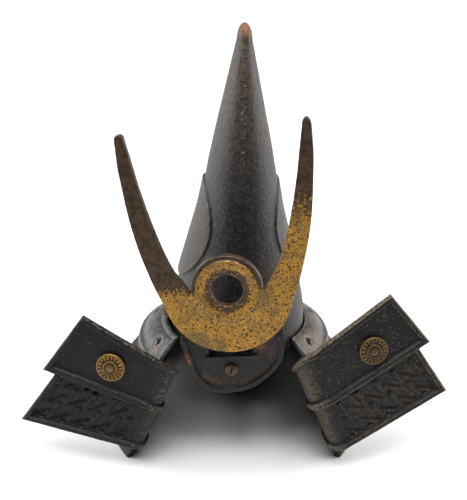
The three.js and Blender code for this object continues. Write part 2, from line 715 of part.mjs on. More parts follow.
function makeRosette(wing) {
  const outline = stations(0, 2 * Math.PI, 2 * ROSETTE.petals)
    .slice(0, -1)
    .map((angle, k) => {
      const radius = ROSETTE.radius - (k % 2) * ROSETTE.petalDepth;
      return [radius * Math.cos(angle), radius * Math.sin(angle)];
    });
  const disc = solidOf(slab(outline, 0, ROSETTE.rise));
  const hub = solidOf(bar(ROSETTE.hub, ROSETTE.rise / 2, ROSETTE.rise + ROSETTE.hubRise, ROSETTE.petals));
  const [out, rise] = wing.rosette;
  const at = wing.origin.clone();
  at.addScaledVector(wing.plane.along, out).addScaledVector(wing.plane.fold, rise);
  return join(disc, hub).transform(wingFrame(wing, at, WING.thickness / 2 + FIT_GAP).elements);
}

// ---------------------------------------------------------------- the helmet

const finishes = {
  blackIron: { color: 0x2a2c30, roughness: 0.6, metalness: 0.7 },
  greyIron: { color: 0x77787a, roughness: 0.5, metalness: 0.8 },
  wornGold: { color: 0x9a7430, roughness: 0.5, metalness: 0.8 },
  bronze: { color: 0x7a5a34, roughness: 0.6, metalness: 0.7 },
};

const helmet = new THREE.Group();

function add(name, solid, finish) {
  const mesh = new THREE.Mesh(geometryOf(solid), new THREE.MeshStandardMaterial(finishes[finish]));
  mesh.name = name;
  helmet.add(mesh);
}

add("crown", makeCrown().transform(crownMatrix.elements), "blackIron");
add("neck_guard", makeGuard(), "greyIron");
add("visor", makeVisor(), "blackIron");
add("visor_screw", makeScrew(), "bronze");
add("crest", makeCrest(), "wornGold");
for (const sheet of wingSides) {
  const origin = new THREE.Vector3(...sheet.origin);
  const wing = { ...sheet, origin, plane: wingPlane(sheet.side), corners: wingCorners[sheet.name] };
  add("wing_" + sheet.name, makeWing(wing), "blackIron");
  add("rosette_" + sheet.name, makeRosette(wing), "bronze");
}

// The origin is the middle of the box round the whole helmet, on the table.
const reach = new THREE.Box3().setFromObject(helmet);
const middle = reach.getCenter(new THREE.Vector3());
for (const piece of helmet.children) piece.position.set(-middle.x, -middle.y, -reach.min.z);

export default helmet;
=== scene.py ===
"""The looks of a small cast-iron model of a tall-crowned samurai helmet."""
import math

import bmesh
import bpy
import numpy as np
from mathutils import Matrix, Vector


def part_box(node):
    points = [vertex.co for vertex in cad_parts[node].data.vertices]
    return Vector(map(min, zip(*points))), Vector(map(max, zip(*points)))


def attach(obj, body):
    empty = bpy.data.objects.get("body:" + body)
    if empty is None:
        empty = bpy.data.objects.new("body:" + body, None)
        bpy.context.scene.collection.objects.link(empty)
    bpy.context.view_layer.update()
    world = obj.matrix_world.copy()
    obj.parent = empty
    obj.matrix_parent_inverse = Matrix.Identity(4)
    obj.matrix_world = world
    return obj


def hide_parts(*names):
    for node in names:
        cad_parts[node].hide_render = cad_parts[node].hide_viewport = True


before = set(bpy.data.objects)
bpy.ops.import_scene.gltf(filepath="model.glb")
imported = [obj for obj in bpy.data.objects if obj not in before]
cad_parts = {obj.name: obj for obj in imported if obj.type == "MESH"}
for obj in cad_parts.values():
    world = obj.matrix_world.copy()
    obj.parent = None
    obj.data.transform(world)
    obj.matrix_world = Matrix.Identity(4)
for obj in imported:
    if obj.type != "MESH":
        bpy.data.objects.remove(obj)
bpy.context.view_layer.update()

# ---------------------------------------------------------------- sizes, in millimetres and degrees
# The helmet's own axes: x to the right of someone who looks at its front, y to its back, z up.

MM = 0.001
WALL = 2.4
GAP = 0.4  # air between pieces that touch
SEAM_FALL, SEAM_FROM = 0.2, -20.0  # the seam of crown and neck guard drops behind this y

# Level above the crown's lower edge, half width, half depth, shift to the back, share of the fall.
CROWN_ROWS = [
    (0.0, 27.4, 33.0, 0.5, 1.0),
    (6.0, 27.2, 32.8, 1.0, 0.8),
    (13.0, 26.0, 32.2, 2.1, 0.4),
    (22.0, 23.6, 30.8, 3.8, 0.0),
    (34.0, 20.2, 28.6, 5.6, 0.0),
    (44.0, 17.5, 26.4, 7.0, 0.0),
    (55.0, 15.1, 23.8, 8.5, 0.0),
    (65.0, 13.4, 21.2, 9.8, 0.0),
    (75.0, 11.4, 18.5, 11.1, 0.0),
    (86.0, 9.1, 15.3, 12.4, 0.0),
    (97.0, 6.75, 11.8, 13.7, 0.0),
    (107.0, 4.6, 8.4, 14.8, 0.0),
    (113.5, 3.2, 5.6, 15.5, 0.0),
]
CROWN = {"base": 44.0, "tip": 119.9, "tip_back": 16.0, "offset": 1.9, "turn": 3.5, "lean": 1.6}
CROWN_GRID = {"columns": 340, "rows": 246, "tip_rows": 16}
HOLLOW = {"top": 86.0, "roof": 97.0, "roof_back": 12.4, "rows": 14}
BOSS = {"radius": 20.5, "up": 38.5, "back": 8.5, "rise": 0.9, "edge_inside": 0.5, "edge_outside": 0.1}

# Height, half width, half depth and shift to the back of the neck guard's outer face.
SHOULDER_ROWS = [
    (47.0, 29.4, 35.4, 0.5),
    (45.6, 32.0, 37.6, 0.4),
    (42.6, 35.4, 40.8, 0.3),
    (39.4, 37.8, 43.0, 0.2),
    (38.4, 39.4, 44.4, 0.1),
]
SKIRT_ROWS = [
    (38.4, 39.4, 44.4, 0.1),
    (37.0, 39.7, 44.7, 0.1),
    (36.4, 39.6, 44.8, 0.1),
    (12.0, 50.4, 58.0, 0.0),
    (2.4, 54.4, 63.0, -0.2),
    (0.0, 54.8, 63.5, -0.2),
]
LINING_HEIGHTS = [47.0, 45.6, 42.6, 39.4, 36.4, 28.0, 20.0, 12.0, 6.0, 2.4, 0.0]
GUARD = {"front_angle": -38.5, "rib_top": 36.4, "rib_bottom": 12.0, "back_reach": 63.3}
GUARD_GRID = {"columns": 340, "shoulder_rows": 30, "skirt_rows": 212}
GUARD_EDGE = {"mean_radius": 48.0, "radius": 0.9, "plain_from": 0.4, "ribbed_from": 1.6}
GUARD_HOLE = {"radius": 1.5, "height": 43.4, "tilt": 52.0, "reach": 6.0, "sides": 28}
GUARD_HOLE_ANGLES = (-27.0, 15.0, 165.0, 207.0)
DIMPLE = {"depth": 0.5, "inner": 1.3, "outer": 3.4, "near": 12.0}
COLLAR = {"below": 4.0, "top": 30.0, "levels": 40, "columns": 180}

# Height, and how far the visor's outline reaches to the left and to the right.
VISOR_ROWS = [
    (35.9, -3.4, -1.2),
    (36.2, -6.2, 2.0),
    (37.2, -9.6, 6.6),
    (39.2, -12.0, 10.2),
    (42.2, -13.9, 13.7),
    (46.0, -15.5, 17.4),
    (50.4, -16.8, 20.0),
    (55.0, -18.0, 20.7),
    (60.0, -19.2, 20.9),
]
VISOR = {"x": -0.3, "front": -41.0, "lean": 6.0, "roll": 2.5, "middle": (0.6, 52.0), "depth": 20.0}
VISOR_RIM = {"inset": 0.2, "rise": 1.15, "width": 2.8, "wall": 2.6, "lip": 5.0, "chin": 3.0}
VISOR_SLOT = {"width": 16.4, "height": 6.5, "up": 52.6}
VISOR_LEDGE = {"width": 19.4, "height": 1.3, "low": -1.0, "high": 0.75}
VISOR_SPACE = {"below": 12.0, "top": 40.0, "levels": 30, "columns": 120}
SCREW = {"shank": 1.5, "up": 46.2, "turn": 12.0, "slot_width": 0.62, "slot_length": 3.4}
CASTING = {"visor_voxel": 0.34, "visor_passes": 4, "crest_voxel": 0.32, "crest_passes": 3}

CREST = {"ring_centre": (-2.4, -38.0, 81.3), "lean": 14.5, "turn": -6.0, "roll": 6.8, "plate": 3.2}
CRESCENT = {"radius": 24.7, "horn_right": 61.8, "horn_left": 60.2, "ring_seat": 9.0}
CREST_FOOT = {"x": 1.5, "up": -23.4, "width": 8.0, "thickness": 1.6, "reach": 7.5, "overlap": 0.5}
# Height above the ring's middle, and half the distance between the horns' edges there.
HORN_ROWS = [
    (-5.0, 12.2, 24.2),
    (2.0, 15.0, 26.9),
    (8.0, 19.0, 28.8),
    (16.0, 22.1, 31.0),
    (26.0, 25.0, 33.0),
    (38.0, 27.8, 34.4),
    (50.0, 30.0, 35.3),
    (58.5, 31.5, 35.3),
]
# Radius and height of the section of the crest's ring, from the back of its hole round the outside.
RING_SECTION = [
    (5.8, -3.2),
    (13.4, -3.2),
    (13.4, 0.45),
    (11.8, 0.5),
    (11.6, 1.2),
    (9.6, 1.15),
    (8.8, 0.75),
    (7.0, 0.6),
    (6.6, 0.75),
    (5.8, 0.3),
]

WING = {"thickness": 2.2, "turn": 9.0, "lean": 14.0, "fold_tilt": 18.5, "band": 0.47, "overlap": 1.0}
WING_HOOK = {"angle": -29.0, "ahead": 0.1, "inward": 5.3, "heights": (12.0, 35.0), "swings": (9.0, 13.0)}
WING_RIM = {"width": 2.6, "rise": 1.1, "band_width": 3.2, "inner": 0.5, "outer": 0.2, "edge_radius": 0.7}
WING_LOW_PANEL = {"step_back": 0.6, "back_step": 0.3}
WING_GRID = {"hook": 36, "front": 160, "low": 112, "top": 116}
# The corners of a wing: out along it, and up along the line where it folds back.
WINGS = {
    "right": {
        "side": 1,
        "origin": (44.9, -44.0, 9.7),
        "rosette": (23.2, 36.2),
        "low_inner": (0.0, 0.0),
        "low_outer": (45.3, 7.2),
        "step_inner": (40.7, 27.8),
        "step_outer": (45.3, 30.2),
        "top_outer": (37.0, 55.0),
        "top_inner": (1.5, 44.8),
    },
    "left": {
        "side": -1,
        "origin": (-41.7, -44.0, 10.4),
        "rosette": (17.5, 30.5),
        "low_inner": (0.0, 0.0),
        "low_outer": (44.1, -6.8),
        "step_inner": (37.7, 16.8),
        "step_outer": (42.4, 17.9),
        "top_outer": (34.7, 45.9),
        "top_inner": (1.8, 40.7),
    },
}
LOW_PANEL = {"from": 0.0, "to": WING["band"], "low": "low_outer", "top": "step_inner"}
TOP_PANEL = {"from": WING["band"], "to": 1.0, "low": "step_outer", "top": "top_outer"}

# The lacing's bars, in metres and radians, as the inputs of the relief tree name them. In turn:
# the slots, the dimples beside them, and the raised cords that cross between the rows.
LATTICE = {"Pitch": 0.0082, "Row Gap": 0.0085, "Row Shift": -0.0048}
BAR_COLUMNS = ("Start Along", "Start Across", "Length", "Width", "Turn", "Height", "Soft Edge", "Seed")
LACING_BARS = [
    (0.0052, 0.0060, 0.0068, 0.0013, -0.62, -0.0007, 0.00035, 1.0),
    (0.0040, 0.0036, 0.0002, 0.0020, 0.0, -0.0007, 0.0004, 2.0),
    (0.0088, 0.0082, 0.0066, 0.0004, -1.25, 0.0005, 0.00022, 3.0),
    (0.0062, 0.0084, 0.0060, 0.0004, -1.15, 0.0004, 0.00022, 4.0),
]
# Radius and height of the rosette's section, from the middle of its back to the top of its hub.
ROSETTE_SECTION = [
    (0.0, 0.02),
    (5.45, 0.02),
    (5.75, 0.3),
    (5.6, 0.75),
    (5.15, 0.95),
    (4.75, 0.8),
    (3.2, 0.85),
    (2.9, 1.3),
    (2.5, 1.45),
    (2.3, 1.2),
    (1.9, 1.25),
    (1.2, 1.75),
    (0.5, 2.0),
    (0.0, 2.05),
]
PETAL_RING = {"Petals": 18, "Ring Radius": 0.0041, "Height": 0.00085}

# The helmet's axes start on the table in the middle of the neck guard, which ends at back_reach.
guard_low, guard_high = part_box("neck_guard")
START = Vector(((guard_low.x + guard_high.x) / 2, guard_high.y - GUARD["back_reach"] * MM, 0))

# ---------------------------------------------------------------- curves and surfaces


def flowing(known, values, at):
    """Values on a smooth curve through the known ones, which never overshoots them."""
    known, values, at = (np.asarray(each, float) for each in (known, values, at))
    step = np.diff(known)
    rise = np.diff(values) / step
    slope = np.concatenate(([rise[0]], np.zeros(len(rise) - 1), [rise[-1]]))
    same_way = rise[:-1] * rise[1:] > 0
    total = np.where(same_way, rise[:-1] + rise[1:], 1.0)
    slope[1:-1] = np.where(same_way, 2 * rise[:-1] * rise[1:] / total, 0.0)
    i = np.clip(np.searchsorted(known, at, side="right") - 1, 0, len(step) - 1)
    t = (at - known[i]) / step[i]
    ends = (2 * t**3 - 3 * t**2 + 1) * values[i] + (3 * t**2 - 2 * t**3) * values[i + 1]
    return ends + step[i] * ((t**3 - 2 * t**2 + t) * slope[i] + (t**3 - t**2) * slope[i + 1])


def ramp(low, high, value):
    """A soft step from 0 at low to 1 at high; low may be the larger one."""
    t = np.clip((value - low) / (high - low), 0.0, 1.0)
    return t * t * (3 - 2 * t)


def blot(x, y, centre, reach):
    """A soft round spot: 1 at its centre, fading over its reach to each side."""
    return np.exp(-(((x - centre[0]) / reach[0]) ** 2) - ((y - centre[1]) / reach[1]) ** 2)


def rounding(distance, radius):
    """How far a face drops towards a rounded edge at that distance."""
    inside = np.clip(radius - distance, 0.0, radius)
    return radius - np.sqrt(np.maximum(radius**2 - inside**2, 0.0))


def seam_fall(y):
    return SEAM_FALL * np.maximum(0.0, y - SEAM_FROM)


def full_turn(steps):
    return np.linspace(0, 2 * math.pi, steps, endpoint=False)


def turned(matrix, points):
    """Points moved by a matrix."""
    flat = np.asarray(points, float).reshape(-1, 3)
    m = np.array(matrix)
    return (flat @ m[:3, :3].T + m[:3, 3]).reshape(np.shape(points))


class Skin:
    """Rows of points and the faces between them, which become one mesh."""

    def __init__(self):
        self.points = []
        self.faces = []
        self.count = 0

    def add(self, points):
        """Adds points of any array shape; gives back their numbers in that shape."""
        points = np.asarray(points, float)
        numbers = np.arange(self.count, self.count + points.size // 3).reshape(points.shape[:-1])
        self.points.append(points.reshape(-1, 3))
        self.count += points.size // 3
        return numbers

    def between(self, first, second, closed=False):
        """Quads between two rows of the same length."""
        if closed:
            first, second = (np.append(row, row[0]) for row in (first, second))
        corners = (first[:-1], first[1:], second[1:], second[:-1])
        self.faces.extend(np.stack(corners, axis=1).tolist())

    def sheet(self, rows, closed=False):
        for first, second in zip(rows[:-1], rows[1:]):
            self.between(first, second, closed)

    def uneven(self, first, second):
        """Triangles between two open rows of different lengths."""
        i = j = 0
        last_i, last_j = len(first) - 1, len(second) - 1
        while i < last_i or j < last_j:
            if j == last_j or (i < last_i and (i + 1) / last_i <= (j + 1) / last_j):
                self.faces.append([int(first[i]), int(first[i + 1]), int(second[j])])
                i += 1
            else:
                self.faces.append([int(first[i]), int(second[j + 1]), int(second[j])])
                j += 1

    def fan(self, row, point):
        """Triangles between a closed row and one point."""
        centre = int(self.add([point])[0])
        following = np.append(row[1:], row[0])
        self.faces.extend([int(a), int(b), centre] for a, b in zip(row, following))

    def cap(self, row):
        self.faces.append([int(number) for number in row])

    def prism(self, outline, low, high, matrix):
        """A straight block with that outline between two heights."""
        outline = np.asarray(outline, float)
        rows = []
        for height in (low, high):
            level = np.column_stack([outline, np.full(len(outline), height)])
            rows.append(self.add(turned(matrix, level)))
        self.between(rows[0], rows[1], closed=True)
        self.cap(rows[0][::-1])
        self.cap(rows[1])

    def rings(self, section, steps, matrix):
        """One ring of points round the Z axis for each radius and height of a section."""
        rows = []
        for radius, height in section:
            ring = [(radius * math.cos(a), radius * math.sin(a), height) for a in full_turn(steps)]
            rows.append(self.add(turned(matrix, ring)))
        return rows

    def washer(self, section, steps, matrix):
        """A closed section turned round the Z axis, clear of it."""
        rows = self.rings(section, steps, matrix)
        self.sheet(rows + [rows[0]], closed=True)

    def spun(self, section, steps, matrix):
        """A solid turned round the Z axis; its section starts and ends on that axis."""
        rows = self.rings(section[1:-1], steps, matrix)
        self.sheet(rows, closed=True)
        self.fan(rows[0][::-1], turned(matrix, [(0, 0, section[0][1])])[0])
        self.fan(rows[-1], turned(matrix, [(0, 0, section[-1][1])])[0])

    def mesh(self, name):
        """The mesh in metres, in the frame's own axes, with its faces outwards."""
        points = np.concatenate(self.points) * MM + np.array(START)
        mesh = bpy.data.meshes.new(name)
        mesh.from_pydata(points.tolist(), [], self.faces)
        face_outwards(mesh)
        return mesh

    def piece(self, name):
        made = bpy.data.objects.new(name, self.mesh(name))
        bpy.context.scene.collection.objects.link(made)
        return made


def face_outwards(mesh):
    """Turns every face of closed shapes outwards."""
    editing = bmesh.new()
    editing.from_mesh(mesh)
    bmesh.ops.recalc_face_normals(editing, faces=editing.faces)
    editing.to_mesh(mesh)
    editing.free()


def read_points(mesh):
    points = np.zeros(len(mesh.vertices) * 3)
    mesh.vertices.foreach_get("co", points)
    return points.reshape(-1, 3)


def helmet_points(piece):
    """A piece's points in millimetres, in the helmet's own axes."""
    return (read_points(piece.data) - np.array(START)) / MM


def write_values(piece, **named_values):
    """Keeps numbers or vectors, one for each point, as attributes that nodes can read."""
    for name, values in named_values.items():
        values = np.asarray(values, float)
        kind, key = ("FLOAT_VECTOR", "vector") if values.ndim == 2 else ("FLOAT", "value")
        attribute = piece.data.attributes.new(name, kind, "POINT")
        attribute.data.foreach_set(key, values.ravel())


def write_relief(piece, passes):
    """Keeps, in millimetres, how far each point stands out of the surface around it."""
    mesh = piece.data
    points = read_points(mesh) / MM
    edges = np.zeros(len(mesh.edges) * 2, int)
    mesh.edges.foreach_get("vertices", edges)
    a, b = edges.reshape(-1, 2).T
    count = np.bincount(a, minlength=len(points)) + np.bincount(b, minlength=len(points))
    normals = np.zeros(len(points) * 3)
    mesh.vertices.foreach_get("normal", normals)
    smooth = points.copy()
    for _ in range(passes):
        total = np.zeros_like(smooth)
        for k in range(3):
            total[:, k] = np.bincount(a, smooth[b, k], len(points))
            total[:, k] += np.bincount(b, smooth[a, k], len(points))
        smooth = 0.4 * smooth + 0.6 * total / np.maximum(count, 1)[:, None]
    relief = np.einsum("ij,ij->i", points - smooth, normals.reshape(-1, 3))
    write_values(piece, relief=relief)


def bake_modifiers(piece):
    """Turns a piece and its modifiers into a plain mesh."""
    graph = bpy.context.evaluated_depsgraph_get()
    finished = piece.evaluated_get(graph)
    mesh = bpy.data.meshes.new_from_object(finished, preserve_all_data_layers=True, depsgraph=graph)
    piece.modifiers.clear()
    old, piece.data = piece.data, mesh
    bpy.data.meshes.remove(old)
    mesh.name = piece.name


def cut_away(piece, skin, solver="EXACT"):
    """Cuts the shapes of a skin out of a piece."""
    cutter = skin.piece("cutter")
    modifier = piece.modifiers.new("cut", "BOOLEAN")
    modifier.operation = "DIFFERENCE"
    modifier.solver = solver
    modifier.object = cutter
    bake_modifiers(piece)
    bpy.data.objects.remove(cutter)


def cut_block(piece, outline, low, high, matrix):
    """Cuts one straight block out of a piece."""
    skin = Skin()
    skin.prism(outline, low, high, matrix)
    cut_away(piece, skin)


def add_to(piece, others):
    """Joins other meshes to a piece."""
    bpy.ops.object.select_all(action="DESELECT")
    for each in [piece, *others]:
        each.select_set(True)
    bpy.context.view_layer.objects.active = piece
    bpy.ops.object.join()


def fuse(piece, voxel, passes):
    """Melts overlapping blocks into one casting with soft edges."""
    remesh = piece.modifiers.new("fuse", "REMESH")
    remesh.mode = "VOXEL"
    remesh.voxel_size = voxel * MM
    soften = piece.modifiers.new("soften", "SMOOTH")
    soften.factor = 0.5
    soften.iterations = passes
    bake_modifiers(piece)


def circle(radius, steps):
    return radius * np.column_stack([np.cos(full_turn(steps)), np.sin(full_turn(steps))])


def rectangle(width, height, middle=(0.0, 0.0), turn=0.0):
    corners = np.array([(-1, -1), (1, -1), (1, 1), (-1, 1)]) * (width / 2, height / 2)
    c, s = math.cos(math.radians(turn)), math.sin(math.radians(turn))
    return corners @ np.array([(c, s), (-s, c)]) + middle


def rotation(degrees, axis):
    return Matrix.Rotation(math.radians(degrees), 4, axis)


# ---------------------------------------------------------------- node trees


def node(tree, kind, inputs=(), **settings):
    """Adds a node with its settings and with numbers or links in its named inputs."""
    made = tree.nodes.new(kind)
    for key, value in settings.items():
        setattr(made, key, value)
    for key, value in dict(inputs).items():
        feed(tree, made.inputs[key], value)
    return made


def feed(tree, socket, value):
    """Links a socket, or sets its number."""
    if isinstance(value, Flow):
        value = value.socket
    if isinstance(value, bpy.types.NodeSocket):
        tree.links.new(value, socket)
    else:
        socket.default_value = value


class Flow:
    """A number that flows through a node tree: arithmetic on it adds Math nodes."""

    def __init__(self, tree, socket):
        self.tree = tree
        self.socket = socket

    def math(self, operation, *others):
        made = node(self.tree, "ShaderNodeMath", operation=operation)
        for socket, value in zip(made.inputs, (self, *others)):
            feed(self.tree, socket, value)
        return Flow(self.tree, made.outputs[0])

    def __add__(self, other):
        return self.math("ADD", other)

    def __sub__(self, other):
        return self.math("SUBTRACT", other)

    def __mul__(self, other):
        return self.math("MULTIPLY", other)

    def __truediv__(self, other):
        return self.math("DIVIDE", other)

    def step(self, low, high):
        """0 below low, 1 above high and smooth between them; low may be the larger one."""
        ends = {"Value": self, "From Min": low, "From Max": high}
        made = node(self.tree, "ShaderNodeMapRange", ends, interpolation_type="SMOOTHSTEP")
        return Flow(self.tree, made.outputs["Result"])


def new_tree(name, kind, inputs, outputs):
    """An empty node group with sockets: for each a whole number, a number, or the name of a type."""
    tree = bpy.data.node_groups.new(name, kind)
    for way, sockets in (("INPUT", inputs), ("OUTPUT", outputs)):
        for label, value in sockets.items():
            plain = {int: "Int", float: "Float"}.get(type(value), value)
            socket = tree.interface.new_socket(label, in_out=way, socket_type=f"NodeSocket{plain}")
            if value != plain:
                socket.default_value = value
    entry = tree.nodes.new("NodeGroupInput")
    leave = tree.nodes.new("NodeGroupOutput")
    return tree, {label: Flow(tree, entry.outputs[label]) for label in inputs}, leave


class GeometryTree:
    """A geometry tree with numbers as inputs, which ends in Realize Instances and Set Material."""

    def __init__(self, name, numbers):
        inputs = {"Geometry": "Geometry", **numbers, "Material": "Material"}
        made = new_tree(name, "GeometryNodeTree", inputs, {"Geometry": "Geometry"})
        self.tree, self.flow, self.leave = made

    def named(self, name, kind="FLOAT"):
        made = node(self.tree, "GeometryNodeInputNamedAttribute", {"Name": name}, data_type=kind)
        return Flow(self.tree, made.outputs["Attribute"])

    def end(self, geometry):
        real = node(self.tree, "GeometryNodeRealizeInstances", {"Geometry": geometry})
        ends = {"Geometry": real.outputs[0], "Material": self.flow["Material"]}
        last = node(self.tree, "GeometryNodeSetMaterial", ends)
        self.tree.links.new(last.outputs[0], self.leave.inputs["Geometry"])
        return self.tree

    def end_pushed(self, amount, direction=None):
        """Moves each point by its own amount, along its normal where no direction is given."""
        direction = direction or self.tree.nodes.new("GeometryNodeInputNormal").outputs[0]
        way = {0: direction, "Scale": amount}
        offset = node(self.tree, "ShaderNodeVectorMath", way, operation="SCALE").outputs[0]
        place = {"Geometry": self.flow["Geometry"], "Offset": offset}
        return self.end(node(self.tree, "GeometryNodeSetPosition", place).outputs[0])


def shape_with(piece, tree, values):
    """Runs a geometry tree over a piece with named values and keeps the plain mesh."""
    modifier = piece.modifiers.new(tree.name, "NODES")
    modifier.node_group = tree
    for item in tree.interface.items_tree:
        if item.in_out == "INPUT" and item.name in values:
            modifier[item.identifier] = values[item.name]
    bake_modifiers(piece)


def noise_at(tree, size, seed, detail=2.0):
    """Noise from 0 to 1 whose lumps are about that size."""
    one = Flow(tree, node(tree, "ShaderNodeValue").outputs[0])
    one.socket.default_value = 1.0
    inputs = {"Scale": one / size, "W": seed, "Detail": detail}
    made = node(tree, "ShaderNodeTexNoise", inputs, noise_dimensions="4D")
    if tree.bl_idname == "GeometryNodeTree":
        place = tree.nodes.new("GeometryNodeInputPosition").outputs[0]
    else:
        place = tree.nodes.new("ShaderNodeTexCoord").outputs["Object"]
    tree.links.new(place, made.inputs["Vector"])
    return Flow(tree, made.outputs[0])


def cast_surface_tree():
    """Sand-cast skin: slow dents and a fine pebble grain, both only ever sunk."""
    numbers = {"Dent Size": 0.009, "Dent Depth": 0.00025, "Grain Size": 0.0008}
    made = GeometryTree("cast_surface", {**numbers, "Grain Depth": 0.0001, "Seed": 0.0})
    flow = made.flow
    dents = noise_at(made.tree, flow["Dent Size"], flow["Seed"], 1.0)
    grain = noise_at(made.tree, flow["Grain Size"], flow["Seed"] + 5.0)
    return made.end_pushed((dents - 1.0) * flow["Dent Depth"] + (grain - 1.0) * flow["Grain Depth"])


def ribs_tree():
    """Ribs that run round a surface, from the attribute that says how far down it a point is."""
    numbers = {"Pitch": 0.0013, "Rise": 0.0006, "Wander": 0.0003, "Seed": 3.0}
    made = GeometryTree("neck_guard_ribs", numbers)
    flow = made.flow
    uneven = noise_at(made.tree, 0.012, flow["Seed"], 1.0) - 0.5
    run = made.named("run") + uneven * flow["Wander"]
    wave = (run / flow["Pitch"] * (2 * math.pi)).math("COSINE") * 0.5 + 0.5
    worn = noise_at(made.tree, 0.006, flow["Seed"] + 9.0) * 0.5 + 0.65
    return made.end_pushed(wave.math("POWER", 0.8) * flow["Rise"] * worn * made.named("ribbed"))


def relief_tree():
    """A lattice of straight bars or slots, raised or sunk, over the attributes along and across."""
    numbers = {**LATTICE, **dict(zip(BAR_COLUMNS, LACING_BARS[0])), "Unevenness": 0.4}
    made = GeometryTree("cast_relief", numbers)
    flow = made.flow
    in_rows = (made.named("across") - flow["Start Across"]) / flow["Row Gap"]
    row = in_rows.math("ROUND")
    y = (in_rows - row) * flow["Row Gap"]
    in_row = (made.named("along") - flow["Start Along"] - row * flow["Row Shift"]) / flow["Pitch"]
    place = in_row.math("ROUND")
    x = (in_row - place) * flow["Pitch"]
    number = place * 7.0 + row * 31.0 + flow["Seed"]
    chance = node(made.tree, "ShaderNodeTexWhiteNoise", {"W": number}, noise_dimensions="1D")
    random = Flow(made.tree, chance.outputs["Value"]) - 0.5
    turn = flow["Turn"] + random * 0.22
    cosine, sine = turn.math("COSINE"), turn.math("SINE")
    down_bar = x * cosine + y * sine
    off_bar = y * cosine - x * sine
    past_end = (down_bar.math("ABSOLUTE") - flow["Length"] * 0.5).math("MAXIMUM", 0.0)
    distance = (past_end * past_end + off_bar * off_bar).math("SQRT")
    half = flow["Width"] * 0.5
    bump = distance.step(half + flow["Soft Edge"], half - flow["Soft Edge"])
    height = bump * flow["Height"] * (random * flow["Unevenness"] + 1.0) * made.named("field")
    return made.end_pushed(height, made.named("square", "FLOAT_VECTOR"))


def petals_tree():
    """A ring of long petals round a hub, set on the disc that comes in."""
    petal = {"Petal Length": 0.0019, "Petal Width": 0.0011, "Petal Rise": 0.0005}
    made = GeometryTree("rosette_petals", {**PETAL_RING, **petal, "Unevenness": 0.3, "Seed": 4})
    tree, flow = made.tree, made.flow
    circle_size = {"Vertices": flow["Petals"], "Radius": flow["Ring Radius"]}
    ring = node(tree, "GeometryNodeMeshCircle", circle_size)
    lift = node(tree, "ShaderNodeCombineXYZ", {"Z": flow["Height"]})
    place = {"Geometry": ring.outputs[0], "Offset": lift.outputs[0]}
    raised = node(tree, "GeometryNodeSetPosition", place)
    position = tree.nodes.new("GeometryNodeInputPosition").outputs[0]
    apart = node(tree, "ShaderNodeSeparateXYZ", {0: position})
    angle = Flow(tree, apart.outputs["Y"]).math("ARCTAN2", Flow(tree, apart.outputs["X"]))
    facing = node(tree, "ShaderNodeCombineXYZ", {"Z": angle})
    chance = node(tree, "FunctionNodeRandomValue", {"Seed": flow["Seed"]}, data_type="FLOAT")
    uneven = (Flow(tree, chance.outputs[1]) - 0.5) * flow["Unevenness"] + 1.0
    half_sizes = {
        "X": flow["Petal Length"] * 0.5 * uneven,
        "Y": flow["Petal Width"] * 0.5,
        "Z": flow["Petal Rise"] * uneven,
    }
    ball = node(tree, "GeometryNodeMeshUVSphere", {"Segments": 10, "Rings": 6, "Radius": 1.0})
    scatter = {
        "Points": raised.outputs[0],
        "Instance": ball.outputs[0],
        "Rotation": facing.outputs[0],
        "Scale": node(tree, "ShaderNodeCombineXYZ", half_sizes).outputs[0],
    }
    petals = node(tree, "GeometryNodeInstanceOnPoints", scatter)
    both = tree.nodes.new("GeometryNodeJoinGeometry")
    tree.links.new(flow["Geometry"].socket, both.inputs[0])
    tree.links.new(petals.outputs[0], both.inputs[0])
    return made.end(both.outputs[0])


CAST = cast_surface_tree()
RIBS = ribs_tree()
RELIEF = relief_tree()
PETALS = petals_tree()

# ---------------------------------------------------------------- crown

CROWN_MATRIX = (
    Matrix.Translation((CROWN["offset"], 0, CROWN["base"]))
    @ rotation(CROWN["turn"], "Z")
    @ rotation(CROWN["lean"], "Y")
)


def crown_levels():
    """Levels evenly spread up to the last row, then ever closer over the rounded tip."""
    top = CROWN_ROWS[-1][0]
    over = np.sin(np.linspace(0, math.pi / 2, CROWN_GRID["tip_rows"]))
    dome = top + (CROWN["tip"] - top) * over
    return np.concatenate([np.linspace(0, top, CROWN_GRID["rows"])[:-1], dome[:-1]])


def crown_points(levels, angles, grow=0.0):
    """The crown's outer face in its own axes, one row of points a level, grown outwards."""
    table = np.array(CROWN_ROWS)
    top = table[-1, 0]
    columns = (flowing(table[:, 0], table[:, k], np.minimum(levels, top)) for k in range(1, 5))
    width, depth, back, share = columns
    over = np.clip((levels - top) / (CROWN["tip"] - top), 0, 1)
    round_off = np.sqrt(1 - over**2)
    back = back + (CROWN["tip_back"] - table[-1, 3]) * over
    x = ((width * round_off)[:, None] + grow) * np.cos(angles)
    y = back[:, None] + ((depth * round_off)[:, None] + grow) * np.sin(angles)
    z = levels[:, None] - share[:, None] * seam_fall(y)
    return np.stack([x, y, z], axis=-1)


def crown_cutter(space, grow):
    """The crown's form with some air round it, to cut with; it reaches below the crown."""
    levels = np.concatenate([[0.0], np.linspace(0, space["top"], space["levels"])])
    form = crown_points(levels, full_turn(space["columns"]), grow)
    form[0, :, 2] = -space["below"]
    skin = Skin()
    rows = skin.add(turned(CROWN_MATRIX, form))
    skin.sheet(rows, closed=True)
    skin.cap(rows[0])
    skin.cap(rows[-1][::-1])
    return skin


def from_boss_middle(points):
    return np.hypot(points[..., 1] - BOSS["back"], points[..., 2] - BOSS["up"])


